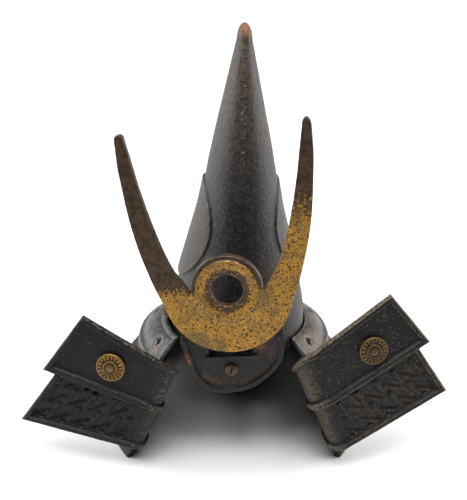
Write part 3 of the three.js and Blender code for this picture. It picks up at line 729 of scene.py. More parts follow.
def make_crown():
    angles = full_turn(CROWN_GRID["columns"])
    levels = crown_levels()
    inside, outside = BOSS["radius"] - BOSS["edge_inside"], BOSS["radius"] + BOSS["edge_outside"]
    grow = BOSS["rise"] * ramp(outside, inside, from_boss_middle(crown_points(levels, angles)))
    skin = Skin()
    rows = skin.add(turned(CROWN_MATRIX, crown_points(levels, angles, grow)))
    skin.sheet(rows, closed=True)
    skin.fan(rows[-1], turned(CROWN_MATRIX, [(0.0, CROWN["tip_back"], CROWN["tip"])])[0])
    inner = crown_points(np.linspace(0, HOLLOW["top"], HOLLOW["rows"]), angles, -WALL)
    lining = skin.add(turned(CROWN_MATRIX, inner))
    skin.between(lining[0], rows[0], closed=True)
    skin.sheet(lining[::-1], closed=True)
    roof = turned(CROWN_MATRIX, [(0.0, HOLLOW["roof_back"], HOLLOW["roof"])])[0]
    skin.fan(lining[-1][::-1], roof)
    return skin.piece("iron_crown")


def mark_crown(piece):
    """Where the crown's finish changes: up it, at its sides and bosses, which get a painted sheen, and along
    its front.
    """
    points = turned(CROWN_MATRIX.inverted(), helmet_points(piece))
    x, y, z = points.T
    table = np.array(CROWN_ROWS)
    front = ramp(-1, -6, y - np.interp(z, table[:, 0], table[:, 3]))
    write_values(
        piece,
        up=z / CROWN["tip"],
        side=x / np.maximum(np.interp(z, table[:, 0], table[:, 1]), 1),
        boss=1 - ramp(BOSS["radius"] - 0.5, BOSS["radius"] + 0.1, from_boss_middle(points)),
        ridge=front * ramp(1.2, 0.4, np.abs(x + 0.8)) * ramp(60, 80, z),
        rust=front * blot(x, z, (9, 22), (8, 13)),
    )


# ---------------------------------------------------------------- neck guard


def guard_points(rows, angles, inward=0.0):
    """Points of the neck guard, one row for each height, half width, half depth and shift."""
    rows = np.asarray(rows, float)
    x = (rows[:, 1:2] - inward) * np.cos(angles)
    y = rows[:, 3:4] + (rows[:, 2:3] - inward) * np.sin(angles)
    z = rows[:, 0:1] - rows[:, 0:1] / SHOULDER_ROWS[0][0] * seam_fall(y)
    return np.stack([x, y, z], axis=-1)


def guard_rows_at(heights):
    """The rows of the guard's profile at any heights."""
    table = np.array((SHOULDER_ROWS + SKIRT_ROWS[1:])[::-1])
    columns = [np.interp(heights, table[:, 0], table[:, k]) for k in range(4)]
    return np.stack(columns, axis=-1)


def along_profile(table, count):
    """Rows evenly spread along a profile, and how far down it each of them is."""
    table = np.asarray(table, float)
    run = np.concatenate([[0], np.cumsum(np.hypot(np.diff(table[:, 0]), np.diff(table[:, 1])))])
    at = np.linspace(0, run[-1], count)
    return np.stack([flowing(run, table[:, k], at) for k in range(4)], axis=-1), at


def hole_axis(angle):
    """Where a hole leaves the guard's shoulder, and the way it is drilled."""
    around, tilt = math.radians(angle), math.radians(GUARD_HOLE["tilt"])
    at = guard_points(guard_rows_at([GUARD_HOLE["height"]]), np.array([around]))[0, 0]
    way = (math.sin(tilt) * math.cos(around), math.sin(tilt) * math.sin(around), math.cos(tilt))
    return at, np.array(way)


def sink_dimples(outer):
    """Sinks the guard's face a little round each of its holes."""
    for angle in GUARD_HOLE_ANGLES:
        at, way = hole_axis(angle)
        away = outer - at
        off_axis = np.linalg.norm(away - (away @ way)[..., None] * way, axis=-1)
        near = np.linalg.norm(away, axis=-1) < DIMPLE["near"]
        sink = DIMPLE["depth"] * ramp(DIMPLE["outer"], DIMPLE["inner"], off_axis) * near
        outer -= sink[..., None] * way


def rib_values(skirt, run, to_end, lining_points):
    """How far down its ribs the guard's points are, in metres, and where ribs are."""
    plain = np.zeros(GUARD_GRID["shoulder_rows"] - 1)
    fill = np.zeros(lining_points)
    from_top = run - np.interp(-GUARD["rib_top"], -skirt[:, 0], run)
    to_bottom = np.interp(-GUARD["rib_bottom"], -skirt[:, 0], run) - run
    ribbed = np.concatenate([plain, ramp(-0.5, 0.3, from_top) * ramp(-0.3, 0.5, to_bottom)])
    ends = ramp(GUARD_EDGE["plain_from"], GUARD_EDGE["ribbed_from"], to_end)
    runs = np.repeat(np.concatenate([plain, from_top]) * MM, len(to_end))
    masks = (ribbed[:, None] * ends).ravel()
    return np.concatenate([runs, fill]), np.concatenate([masks, fill])


def make_guard():
    first = math.radians(GUARD["front_angle"])
    angles = np.linspace(first, math.pi - first, GUARD_GRID["columns"])
    shoulder, _ = along_profile(SHOULDER_ROWS, GUARD_GRID["shoulder_rows"])
    skirt, run = along_profile(SKIRT_ROWS, GUARD_GRID["skirt_rows"])
    outer = guard_points(np.concatenate([shoulder[:-1], skirt]), angles)
    to_end = np.minimum(angles - angles[0], angles[-1] - angles) * GUARD_EDGE["mean_radius"]
    inwards = np.stack([np.cos(angles), np.sin(angles), 0 * angles], axis=-1)
    outer -= inwards * rounding(to_end, GUARD_EDGE["radius"])[:, None]
    sink_dimples(outer)
    inner = guard_points(guard_rows_at(np.array(LINING_HEIGHTS)), angles, WALL)
    inner[1:-1, :, 2] -= WALL / 2
    skin = Skin()
    outer_rows, inner_rows = skin.add(outer), skin.add(inner)
    skin.sheet(outer_rows)
    skin.between(outer_rows[-1], inner_rows[-1])
    skin.sheet(inner_rows[::-1])
    skin.between(inner_rows[0], outer_rows[0])
    skin.uneven(inner_rows[:, 0], outer_rows[:, 0])
    skin.uneven(outer_rows[:, -1], inner_rows[:, -1])
    piece = skin.piece("iron_neck_guard")
    runs, ribbed = rib_values(skirt, run, to_end, inner_rows.size)
    write_values(piece, run=runs, ribbed=ribbed)
    shape_with(piece, RIBS, {})
    cut_away(piece, crown_cutter(COLLAR, GAP), "MANIFOLD")
    drills = Skin()
    for angle in GUARD_HOLE_ANGLES:
        at, way = hole_axis(angle)
        place = Matrix.Translation(at) @ Vector(way).to_track_quat("Z", "Y").to_matrix().to_4x4()
        reach = GUARD_HOLE["reach"]
        drills.prism(circle(GUARD_HOLE["radius"], GUARD_HOLE["sides"]), -reach, reach, place)
    cut_away(piece, drills, "MANIFOLD")
    return piece


def mark_guard(piece):
    """Where the guard's finish changes: its sides, the seam, a rusty hole, and the foot and inside, dark
    partly with paint and partly with painted shade.
    """
    points = helmet_points(piece)
    x, y, z = points.T
    height = z + z / SHOULDER_ROWS[0][0] * seam_fall(y)
    row = guard_rows_at(height)
    out = np.hypot(x / row[:, 1], (y - row[:, 3]) / row[:, 2])
    rusty_hole, _ = hole_axis(GUARD_HOLE_ANGLES[-1])
    from_rust = np.linalg.norm(points - rusty_hole - np.array((0, -2, -4)), axis=1)
    write_values(
        piece,
        side=x / row[:, 1],
        seam=ramp(46.0, 46.9, height),
        rust=ramp(5, 2, from_rust),
        # Dark paint and painted shade: darker near the table and over the whole inner face.
        low=1 - ramp(4, 14, height) * ramp(0.96, 0.985, out),
    )


# ---------------------------------------------------------------- visor and its screw

VISOR_BOTTOM = VISOR_ROWS[0][0]
VISOR_MATRIX = (
    Matrix.Translation((VISOR["x"], VISOR["front"], VISOR_BOTTOM))
    @ rotation(-VISOR["roll"], "Y")
    @ rotation(90 - VISOR["lean"], "X")
    @ Matrix.Translation((0, -VISOR_BOTTOM, 0))
)
SCREW_MATRIX = VISOR_MATRIX @ Matrix.Translation((0, SCREW["up"], 0))


def visor_outline(inset, count=60):
    """The visor's outline, drawn in from the edge; up the right side and down the left."""
    table = np.array(VISOR_ROWS)
    middle_x, middle_up = VISOR["middle"]
    heights = table[0, 0] + (table[-1, 0] - table[0, 0]) * np.linspace(0, 1, count) ** 2
    left, right = (flowing(table[:, 0], table[:, k], heights) for k in (1, 2))
    narrow = 1 - inset / (table[-1, 2] - middle_x)
    short = 1 - inset / (middle_up - table[0, 0])
    heights = np.where(heights < middle_up, middle_up + (heights - middle_up) * short, heights)
    sides = (middle_x + (side - middle_x) * narrow for side in (right, left))
    right, left = (np.column_stack([side, heights]) for side in sides)
    return np.concatenate([right, left[::-1]])


def make_visor():
    rim, slot, depth = VISOR_RIM, VISOR_SLOT, VISOR["depth"]
    skin = Skin()
    skin.prism(visor_outline(rim["inset"]), -depth, rim["rise"], VISOR_MATRIX)
    piece = skin.piece("iron_visor")
    hollows = Skin()
    hollows.prism(visor_outline(rim["width"]), 0.0, 3.0, VISOR_MATRIX)
    hollows.prism(visor_outline(rim["wall"]), -depth - 1, -WALL, VISOR_MATRIX)
    cut_away(piece, hollows)
    ledge = Skin()
    size = VISOR_LEDGE
    bar = rectangle(size["width"], size["height"], (0, slot["up"] - size["height"] / 2))
    ledge.prism(bar, size["low"], size["high"], VISOR_MATRIX)
    add_to(piece, [ledge.piece("ledge")])
    fuse(piece, CASTING["visor_voxel"], CASTING["visor_passes"])
    middle = (0, slot["up"] + slot["height"] / 2)
    cut_block(piece, rectangle(slot["width"], slot["height"], middle), -8, 8, VISOR_MATRIX)
    cut_block(piece, circle(SCREW["shank"] + GAP, 32), -5, 2, SCREW_MATRIX)
    reach, below, middle_up = depth + 9, VISOR_BOTTOM - 1, VISOR["middle"][1]
    cheek = [(-rim["lip"], below), (-rim["lip"], VISOR_BOTTOM + rim["chin"])]
    cheek += [(-depth, middle_up), (-reach, middle_up), (-reach, below)]
    cut_block(piece, cheek, -reach, reach, VISOR_MATRIX @ rotation(-90, "Y"))
    cut_away(piece, crown_cutter(VISOR_SPACE, BOSS["rise"] + GAP))
    return piece


def mark_visor(piece):
    """Where dirt and rust lie in the visor."""
    x, y, z = turned(VISOR_MATRIX.inverted(), helmet_points(piece)).T
    centre = np.hypot((x - 0.6) / 17, (y - 52) / 13.5)
    low_band = np.exp(-(((centre - 0.93) / 0.12) ** 2)) * ramp(50, 44, y)
    dirt = np.clip(low_band + blot(x, y, (16, 52), (2.6, 6)), 0, 1) * ramp(0.5, 0.2, z)
    rust = blot(x, y, (-16.8, 51), (1.5, 2.5)) + blot(x, y, (11.5, 55.5), (1.8, 1.6))
    write_values(piece, dirt=dirt, rust=np.clip(rust, 0, 1))


def make_screw():
    shank = [(0, -4.9), (1.2, -4.9), (1.45, -4.6), (1.45, GAP)]
    rim = [(2.3, GAP), (2.55, GAP + 0.1), (2.5, GAP + 0.22)]
    dome = [(radius, GAP + 0.25 + 0.35 * (1 - (radius / 2.45) ** 2)) for radius in np.linspace(2.3, 0.3, 9)]
    skin = Skin()
    skin.spun(shank + rim + dome + [(0, GAP + 0.6)], 64, SCREW_MATRIX)
    piece = skin.piece("visor_fixing_screw")
    slot = rectangle(SCREW["slot_width"], SCREW["slot_length"], turn=-SCREW["turn"])
    cut_block(piece, slot, GAP + 0.1, GAP + 2, SCREW_MATRIX)
    return piece


# ---------------------------------------------------------------- crest

CREST_MATRIX = (
    Matrix.Translation(CREST["ring_centre"])
    @ rotation(CREST["turn"], "Z")
    @ rotation(90 - CREST["lean"], "X")
    @ rotation(CREST["roll"], "Z")
)


def crest_half(tip_up):
    """Right half of the crescent and its horn: round the outside, over the tip, down inside."""
    table = np.array(HORN_ROWS)
    (low, _, _), (high, tip_inner, tip_outer) = table[0], table[-1]
    start = math.asin(low / CRESCENT["radius"])
    around = np.linspace(-math.pi / 2, start, 40)[:-1]
    crescent = CRESCENT["radius"] * np.column_stack([np.cos(around), np.sin(around)])
    heights = np.linspace(low, high, 50)
    outer = np.column_stack([flowing(table[:, 0], table[:, 2], heights), heights])
    inner_heights = heights[heights > low + 1]
    inner = np.column_stack([flowing(table[:, 0], table[:, 1], inner_heights), inner_heights])
    half = (tip_outer - tip_inner) / 2
    over = np.linspace(0, math.pi, 14)[1:-1]
    tip_x = tip_inner + half + half * np.cos(over)
    tip = np.column_stack([tip_x, high + (tip_up - high) * np.sin(over)])
    return np.concatenate([crescent, outer, tip, inner[::-1]])


def make_crest():
    plate = CREST["plate"]
    right = crest_half(CRESCENT["horn_right"])
    left = crest_half(CRESCENT["horn_left"])[1:] * (-1, 1)
    horns, ring, tang = Skin(), Skin(), Skin()
    horns.prism(np.concatenate([right, left[::-1]]), -plate, 0, CREST_MATRIX)
    piece = horns.piece("gilded_crest")
    cut_block(piece, circle(CRESCENT["ring_seat"], 60), -plate - 1, 1, CREST_MATRIX)
    ring.washer(RING_SECTION, 120, CREST_MATRIX)
    foot = CREST_FOOT
    place = CREST_MATRIX @ Matrix.Translation((foot["x"], foot["up"], 0))
    block = rectangle(foot["width"], foot["thickness"])
    tang.prism(block, -plate - foot["reach"], -plate + foot["overlap"], place)
    add_to(piece, [ring.piece("ring"), tang.piece("tang")])
    fuse(piece, CASTING["crest_voxel"], CASTING["crest_passes"])
    return piece


def mark_crest(piece):
    """How much gilding is left: most on the crescent, none on the left horn and the ring's top."""
    x, y, z = turned(CREST_MATRIX.inverted(), helmet_points(piece)).T
    radius = np.hypot(x, y)
    bare_rim = ramp(11.2, 12.2, radius) * ramp(14.2, 13.8, radius) * ramp(-4, 3, y)
    right_horn = ramp(0, 6, x) * ramp(44, 18, y)
    on_horns = np.maximum(ramp(6, -6, y), right_horn * 0.8) * (1 - bare_rim)
    on_ring = np.minimum(0.3 + 0.45 * ramp(7.6, 9.2, radius), 1 - bare_rim)
    gilt = np.where(radius < 13.6, on_ring, on_horns) * ramp(-1.6, -0.6, z)
    write_values(piece, gilt=gilt)


# ---------------------------------------------------------------- wings and rosettes


class WingPlane:
    """The flat front of a wing: out along it, up along the line where it folds back."""

    def __init__(self, wing):
        turn, lean, tilt = (math.radians(WING[key]) for key in ("turn", "lean", "fold_tilt"))
        side = wing["side"]
        across = (side * math.sin(turn) * math.cos(lean), -math.cos(turn) * math.cos(lean))
        self.wing = wing
        self.side = side
        self.normal = Vector((*across, math.sin(lean)))
        up = (Vector((0, 0, 1)) - self.normal * self.normal.z).normalized()
        out = up.cross(self.normal) * side
        self.along = out * math.cos(tilt) + up * math.sin(tilt)
        self.fold = up * math.cos(tilt) - out * math.sin(tilt)
        self.origin = Vector(wing["origin"])

    def corner(self, name):
        out, rise = self.wing[name]
        return np.array(self.origin + self.along * out + self.fold * rise)

    def at(self, out, rise, proud):
        """A matrix that stands on the wing's front."""
        place = self.origin + self.along * out + self.fold * rise + self.normal * proud
        axes = Matrix((self.along, self.fold, self.normal)).transposed().to_4x4()
        return Matrix.Translation(place) @ axes

    def tuck(self, up, angle):
        """Where the hooked plate ends inside the guard's wall."""
        low, high = WING_HOOK["heights"]
        rows = guard_rows_at(low + (high - low) * up)
        points = guard_points(rows, np.array([angle]), WING_HOOK["inward"])[:, 0]
        points[:, 0] *= self.side
        return points

    def middle(self, panel, across, up):
        """The middle of the plate on a grid; across from -1, tucked in, over the fold to 1."""
        start = (1 - up)[:, None] * self.corner("low_inner") + up[:, None] * self.corner("top_inner")
        local = ((up - panel["from"]) / (panel["to"] - panel["from"]))[:, None]
        end = (1 - local) * self.corner(panel["low"]) + local * self.corner(panel["top"])
        t = np.clip(across, 0, 1)[None, :, None]
        flat = start[:, None] * (1 - t) + end[:, None] * t
        angle = math.radians(WING_HOOK["angle"])
        tucked = self.tuck(up, angle)
        ahead = self.tuck(up, angle + WING_HOOK["ahead"]) - tucked
        ahead /= np.linalg.norm(ahead, axis=1)[:, None]
        low_swing, high_swing = WING_HOOK["swings"]
        swing = (low_swing + (high_swing - low_swing) * up)[:, None]
        second = start - np.array(self.along) * swing
        third = tucked - ahead * swing
        b = np.clip(-across, 0, 1)[None, :, None]
        hook = (1 - b) ** 3 * start[:, None] + 3 * b * (1 - b) ** 2 * second[:, None]
        hook = hook + 3 * b**2 * (1 - b) * third[:, None] + b**3 * tucked[:, None]
        return np.where(across[None, :, None] < 0, hook, flat)


def border_of(rows):
    """The numbers along the border of a grid, all the way round."""
    return np.concatenate([rows[0, :-1], rows[:-1, -1], rows[-1, :0:-1], rows[:0:-1, 0]])


def add_wing_panel(skin, plane, panel, ups, height_at, sink):
    """A closed plate with rounded edges; gives back its front's places and its normals."""
    hook, front_part = np.linspace(-1, 0, WING_GRID["hook"]), np.linspace(0, 1, WING_GRID["front"])
    across = np.concatenate([hook[:-1], front_part])
    middle = plane.middle(panel, across, ups)
    along_step = np.gradient(middle, axis=1)
    up_step = np.gradient(middle, axis=0)
    normal = np.cross(along_step, up_step) * plane.side
    normal /= np.linalg.norm(normal, axis=-1)[..., None]
    reach = np.linalg.norm(along_step, axis=-1).cumsum(axis=1)
    rise = np.linalg.norm(up_step, axis=-1).cumsum(axis=0)
    fold = len(hook) - 1
    places = {
        "out": reach - reach[:, fold : fold + 1],
        "to_outer": reach[:, -1:] - reach,
        "up": rise - rise[:1],
        "to_top": rise[-1:] - rise,
    }
    to_edges = [places[key] for key in ("to_outer", "up", "to_top")]
    to_edge = np.minimum.reduce([*to_edges, reach - reach[:, :1]])
    edge = rounding(to_edge, WING_RIM["edge_radius"])
    front_rows = skin.add(middle + normal * (height_at(places) - edge)[..., None])
    back_rows = skin.add(middle - normal * (sink - edge)[..., None])
    skin.sheet(front_rows)
    skin.sheet(back_rows[:, ::-1])
    skin.between(border_of(back_rows), border_of(front_rows), closed=True)
    return places, normal


def rim_at(distance, width):
    """The raised border: 1 along an edge, 0 past its width."""
    return 1 - ramp(width - WING_RIM["inner"], width + WING_RIM["outer"], distance)


def make_wing(name, wing):
    plane = WingPlane(wing)
    half = WING["thickness"] / 2
    width, rise = WING_RIM["width"], WING_RIM["rise"]

    def top_height(places):
        outer, top = (rim_at(places[key], width) for key in ("to_outer", "to_top"))
        band = rim_at(places["up"], WING_RIM["band_width"])
        return half + rise * np.maximum(np.maximum(outer, top), band)

    def low_height(places):
        outer, low = (rim_at(places[key], width) for key in ("to_outer", "up"))
        return half - WING_LOW_PANEL["step_back"] + rise * np.maximum(outer, low)

    skin = Skin()
    low_top = WING["band"] + WING["overlap"] / wing["top_inner"][1]
    low_ups = np.linspace(0, low_top, WING_GRID["low"])
    top_ups = np.linspace(WING["band"], 1, WING_GRID["top"])
    low_sink = half + WING_LOW_PANEL["back_step"]
    places, normal = add_wing_panel(skin, plane, LOW_PANEL, low_ups, low_height, low_sink)
    laced = places["up"].size
    add_wing_panel(skin, plane, TOP_PANEL, top_ups, top_height, half)
    piece = skin.piece(name)
    off_rim = ramp(width + 0.4, width + 1.2, places["up"]) * ramp(width + 0.2, width + 1, places["to_outer"])
    field = off_rim * ramp(1.3, 2.1, places["to_top"]) * ramp(1.5, 3.0, places["out"])
    values = {"along": places["out"] * MM, "across": places["up"] * MM, "field": field}
    for key, each in values.items():
        write_values(piece, **{key: np.concatenate([each.ravel(), np.zeros(skin.count - laced)])})
    square = np.zeros((skin.count, 3))
    square[:laced] = normal.reshape(-1, 3)
    write_values(piece, square=square)
    for bars in LACING_BARS:
        shape_with(piece, RELIEF, dict(zip(BAR_COLUMNS, bars)))
    return piece


def mark_wing(piece, wing):
    """Where a wing is rubbed along its outer edges, and where dirt lies among its laces."""
    plane = WingPlane(wing)
    away = helmet_points(piece) - np.array(plane.origin)
    out, rise = (away @ np.array(axis) for axis in (plane.along, plane.fold))
    low_edge = np.interp(out, [0, wing["low_outer"][0]], [0, wing["low_outer"][1]])
    upper = (rise > wing["step_inner"][1] - 1.5)[:, None]
    first = np.where(upper, wing["step_outer"], wing["low_outer"])
    second = np.where(upper, wing["top_outer"], wing["step_inner"])
    way = second - first
    spot = np.column_stack([out, rise]) - first
    distance = np.abs(spot[:, 0] * way[:, 1] - spot[:, 1] * way[:, 0]) / np.hypot(*way.T)
    dirt = (rise - low_edge < 20) * ramp(3, 8, out)
    write_values(piece, edge=ramp(1.3, 0.3, distance), dirt=dirt)


def make_rosette(name, wing, seed):
    skin = Skin()
    skin.spun(ROSETTE_SECTION, 72, Matrix())
    piece = skin.piece(name)
    piece.data.transform(Matrix.Translation(-START))
    shape_with(piece, PETALS, {"Seed": seed})
    place = WingPlane(wing).at(*wing["rosette"], WING["thickness"] / 2 + GAP)
    to_millimetres, to_metres = Matrix.Scale(1 / MM, 4), Matrix.Scale(MM, 4)
    piece.data.transform(Matrix.Translation(START) @ to_metres @ place @ to_millimetres)
    face_outwards(piece.data)
    return piece


# ---------------------------------------------------------------- finishes


def rgb(code):
    """A colour from its six hexadecimal digits, in linear light."""
    parts = [int(code[k : k + 2], 16) / 255 for k in (0, 2, 4)]
    linear = [p / 12.92 if p <= 0.04045 else ((p + 0.055) / 1.055) ** 2.4 for p in parts]
    return (*linear, 1.0)


def grain_group():
    """Fine leathery grain of a sand casting, as a height and a mask of its pits."""
    outputs = {"Height": "Float", "Pits": "Float"}
    tree, flow, leave = new_tree("cast_grain", "ShaderNodeTree", {"Size": 0.0006, "Seed": 0.0}, outputs)
    coarse = noise_at(tree, flow["Size"] * 2.2, flow["Seed"])
    fine = noise_at(tree, flow["Size"] * 0.8, flow["Seed"] + 3.0, 3.0)
    height = coarse * 0.6 + fine * 0.4
    feed(tree, leave.inputs["Height"], height)
    feed(tree, leave.inputs["Pits"], height.step(0.48, 0.36))
    return tree


def patches_group():
    """Blotches of a given size; the larger Amount is, the more they cover."""
    inputs = {"Size": 0.004, "Amount": 0.5, "Softness": 0.06, "Detail": 3.0, "Seed": 0.0}
    tree, flow, leave = new_tree("patches", "ShaderNodeTree", inputs, {"Mask": "Float"})
    noise = noise_at(tree, flow["Size"], flow["Seed"], flow["Detail"])
    middle = (flow["Amount"] * -0.5) + 0.75
    feed(tree, leave.inputs["Mask"], noise.step(middle - flow["Softness"], middle + flow["Softness"]))
    return tree


GRAIN = grain_group()
PATCHES = patches_group()


class Finish:
    """A material being put together: a colour that layers are laid over, and its surface."""

    def __init__(self, name, colour):
        self.material = bpy.data.materials.new(name)
        self.material.use_nodes = True
        self.tree = self.material.node_tree
        self.shader = self.tree.nodes["Principled BSDF"]
        self.colour = rgb(colour)

    def attribute(self, name):
        made = node(self.tree, "ShaderNodeAttribute", attribute_name=name)
        return Flow(self.tree, made.outputs["Fac"])

    def group(self, group, inputs):
        """A node group's outputs, in their order."""
        made = node(self.tree, "ShaderNodeGroup", node_tree=group)
        for key, value in inputs.items():
            feed(self.tree, made.inputs[key], value)
        return [Flow(self.tree, socket) for socket in made.outputs]

    def patches(self, size, amount, seed, softness=0.06, detail=3.0):
        inputs = {"Size": size, "Amount": amount, "Seed": seed, "Softness": softness}
        return self.group(PATCHES, {**inputs, "Detail": detail})[0]

    def grain(self, size, seed):
        """The height of the cast grain and the mask of its pits."""
        return self.group(GRAIN, {"Size": size, "Seed": seed})

    def lay(self, colour, mask):
        """Lays another colour over the ones below where the mask is 1."""
        made = node(self.tree, "ShaderNodeMix", data_type="RGBA")
        feed(self.tree, made.inputs["Factor"], mask)
        feed(self.tree, made.inputs["A"], self.colour)
        feed(self.tree, made.inputs["B"], rgb(colour))
        self.colour = made.outputs["Result"]

    def done(self, roughness, metallic, specular=0.5, height=None, depth=0.0):
        """Joins everything to the shader; depth is how far the height stands up, in metres."""
        inputs = {"Base Color": self.colour, "Roughness": roughness, "Metallic": metallic}
        inputs["Specular IOR Level"] = specular
        if height:
            bump = node(self.tree, "ShaderNodeBump", {"Height": height, "Distance": depth})
            inputs["Normal"] = bump.outputs["Normal"]
        for key, value in inputs.items():
            feed(self.tree, self.shader.inputs[key], value)
        return self.material


def crown_finish():
    finish = Finish("crown_iron_finish", "1b1c20")
    up, relief, side, boss = (finish.attribute(name) for name in ("up", "relief", "side", "boss"))
    height, pits = finish.grain(0.00075, 1.0)
    finish.lay("302c2a", finish.patches(0.0016, 0.45, 2.0))
    finish.lay("0b0c0e", finish.patches(0.0011, 0.4, 3.0))
    finish.lay("4a4038", up.step(0.4, 0.98) * finish.patches(0.0014, 0.7, 4.0, 0.12))
    finish.lay("7a4f30", up.step(0.95, 1.0) * finish.patches(0.0015, 0.8, 5.0))
    # Painted sheen on the side bosses, where glare grazes them: grey on the right, brown on the left, which
    # is partly worn bare metal.
    finish.lay("3a2f26", boss * side.step(-0.3, -0.7) * finish.patches(0.0022, 0.6, 6.0, 0.2))
    finish.lay("3c3e3b", boss * side.step(0.3, 0.7) * finish.patches(0.0022, 0.6, 7.0, 0.2))
    finish.lay("4a2a1e", finish.attribute("rust") * finish.patches(0.002, 0.45, 8.0, 0.1))
    finish.lay("8a7c66", finish.attribute("ridge") * finish.patches(0.0008, 0.3, 9.0, 0.03))
    finish.lay("5f5b54", relief.step(0.06, 0.2) * finish.patches(0.001, 0.5, 10.0))
    finish.lay("060607", pits * 0.7)
    return finish.done(0.5, 0.1, 0.4, height, 0.0004)


def guard_finish():
    finish = Finish("guard_iron_finish", "3e3f41")
    relief = finish.attribute("relief")
    height, pits = finish.grain(0.0006, 11.0)
    finish.lay("2a2a2c", finish.patches(0.003, 0.5, 12.0, 0.15))
    finish.lay("5a5b5a", finish.patches(0.0012, 0.3, 13.0, 0.1))
    # Painted shade in the grooves between the ribs and round the holes.
    finish.lay("0e0e0e", relief.step(-0.02, -0.14))
    # Painted highlight along the tops of the ribs and the raised edges.
    finish.lay("7d7b75", relief.step(0.03, 0.14) * finish.patches(0.0012, 0.7, 14.0, 0.15))
    finish.lay("5a4a38", finish.attribute("side").step(0.5, 0.95) * finish.patches(0.003, 0.5, 15.0))
    finish.lay("5a3420", finish.attribute("seam") * finish.patches(0.0014, 0.35, 16.0) * 0.8)
    finish.lay("9a5c40", finish.attribute("rust") * finish.patches(0.001, 0.35, 17.0))
    # Dark paint and painted shade at the foot and on the inside.
    finish.lay("141110", finish.attribute("low") * finish.patches(0.004, 0.8, 18.0, 0.2))
    finish.lay("0c0c0c", pits * 0.4)
    return finish.done(0.42, 0.2, 0.5, height, 0.00022)


def visor_finish():
    finish = Finish("visor_iron_finish", "0e0f10")
    height, pits = finish.grain(0.0006, 21.0)
    finish.lay("201f1e", finish.patches(0.0015, 0.4, 22.0))
    finish.lay("4a3422", finish.attribute("dirt") * finish.patches(0.0012, 0.6, 23.0, 0.12))
    # Painted highlight: the raised rim and lip are lighter bluish grey where they face the light.
    finish.lay("4d545c", finish.attribute("relief").step(0.08, 0.3) * finish.patches(0.0012, 0.5, 24.0))
    finish.lay("8a4a1e", finish.attribute("rust") * finish.patches(0.001, 0.6, 25.0))
    finish.lay("050506", pits * 0.5)
    return finish.done(0.48, 0.0, 0.3, height, 0.0004)


def screw_finish():
    finish = Finish("brass_screw_finish", "57432b")
    relief = finish.attribute("relief")
    height, _ = finish.grain(0.0003, 31.0)
    finish.lay("33261a", finish.patches(0.0008, 0.5, 32.0))
    finish.lay("8c5222", relief.step(0.02, 0.1))
    # Painted shade in the head's slot.
    finish.lay("080605", relief.step(-0.03, -0.12))
    return finish.done(0.4, 0.4, 0.5, height, 0.0001)


def crest_finish():
    finish = Finish("worn_gilding_finish", "4c3a28")
    relief = finish.attribute("relief")
    gilt = finish.attribute("gilt")
    height, _ = finish.grain(0.0007, 41.0)
    finish.lay("33271d", finish.patches(0.0018, 0.45, 42.0, 0.1))
    leaf = finish.patches(0.0010, gilt, 43.0, 0.05, 2.5)
    finish.lay("a5772a", leaf * gilt.step(0.02, 0.2))
    finish.lay("c99a40", leaf * finish.patches(0.0007, 0.4, 44.0, 0.06) * gilt.step(0.4, 0.9))
    finish.lay("2a1e12", gilt.step(0.2, 0.6) * finish.patches(0.0007, 0.34, 45.0, 0.05, 2.0))
    finish.lay("5f5138", gilt.step(0.2, 0.6) * finish.patches(0.006, 0.35, 47.0, 0.15) * 0.7)
    # Partly rubbed-through metal, partly painted highlight on the raised edges and bevels.
    finish.lay("6d6250", relief.step(0.08, 0.22) * finish.patches(0.001, 0.6, 46.0, 0.1) * 0.7)
    # Painted shade in the recesses.
    finish.lay("1c140d", relief.step(-0.06, -0.2))
    return finish.done(0.45, 0.3, 0.5, height, 0.0002)


def wing_finish(name, seed, worn):
    finish = Finish(name, "0b0c0f")
    relief = finish.attribute("relief")
    height, _ = finish.grain(0.00055, seed + 1.0)
    finish.lay("141517", finish.patches(0.0012, 0.4, seed + 2.0))
    finish.lay("54493c", finish.patches(0.0009, 0.24 * worn, seed + 3.0, 0.05))
    finish.lay("35281c", finish.attribute("dirt") * finish.patches(0.0022, 0.35 * worn, seed + 6.0, 0.12))
    # Partly wear, partly painted highlight on the raised cords and rims; worn scales both.
    finish.lay("6f6250", relief.step(0.05, 0.22) * finish.patches(0.0009, 0.6 * worn, seed + 4.0, 0.1))
    finish.lay("6b6156", finish.attribute("edge") * finish.patches(0.0009, 0.5, seed + 5.0))
    # Painted shade in the sunk slots and holes of the lacing.
    finish.lay("040405", relief.step(-0.07, -0.3))
    return finish.done(0.48, 0.0, 0.3, height, 0.0004)


def rosette_finish(name, base, light):
    finish = Finish(name, base)
    relief = finish.attribute("relief")
    height, _ = finish.grain(0.0004, 71.0)
    # Painted highlight on the raised petals and rims, in the light colour.
    finish.lay(light, relief.step(0.02, 0.14) * finish.patches(0.0007, 0.75, 72.0, 0.1))
    # Painted shade in the sunk slots.
    finish.lay("150d07", relief.step(-0.03, -0.14))
    return finish.done(0.42, 0.35, 0.5, height, 0.00012)


# ---------------------------------------------------------------- putting it together

ROUGH = {"Dent Size": 0.007, "Dent Depth": 0.0003, "Grain Depth": 0.00025}


def set_down(piece, node_name, material, relief_passes, cast=None):
    """Gives a finished shape its cast skin and its finish, in place of its plain solid."""
    if cast:
        shape_with(piece, CAST, {**cast, "Material": material})
    piece.data.materials.clear()
    piece.data.materials.append(material)
    piece.data.polygons.foreach_set("use_smooth", [True] * len(piece.data.polygons))
    write_relief(piece, relief_passes)
    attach(piece, "root")
    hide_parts(node_name)


crown = make_crown()
mark_crown(crown)
set_down(crown, "crown", crown_finish(), 8, {**ROUGH, "Seed": 1.0})

guard = make_guard()
mark_guard(guard)
set_down(guard, "neck_guard", guard_finish(), 6, {"Seed": 2.0})

visor = make_visor()
mark_visor(visor)
set_down(visor, "visor", visor_finish(), 14, {"Seed": 3.0})

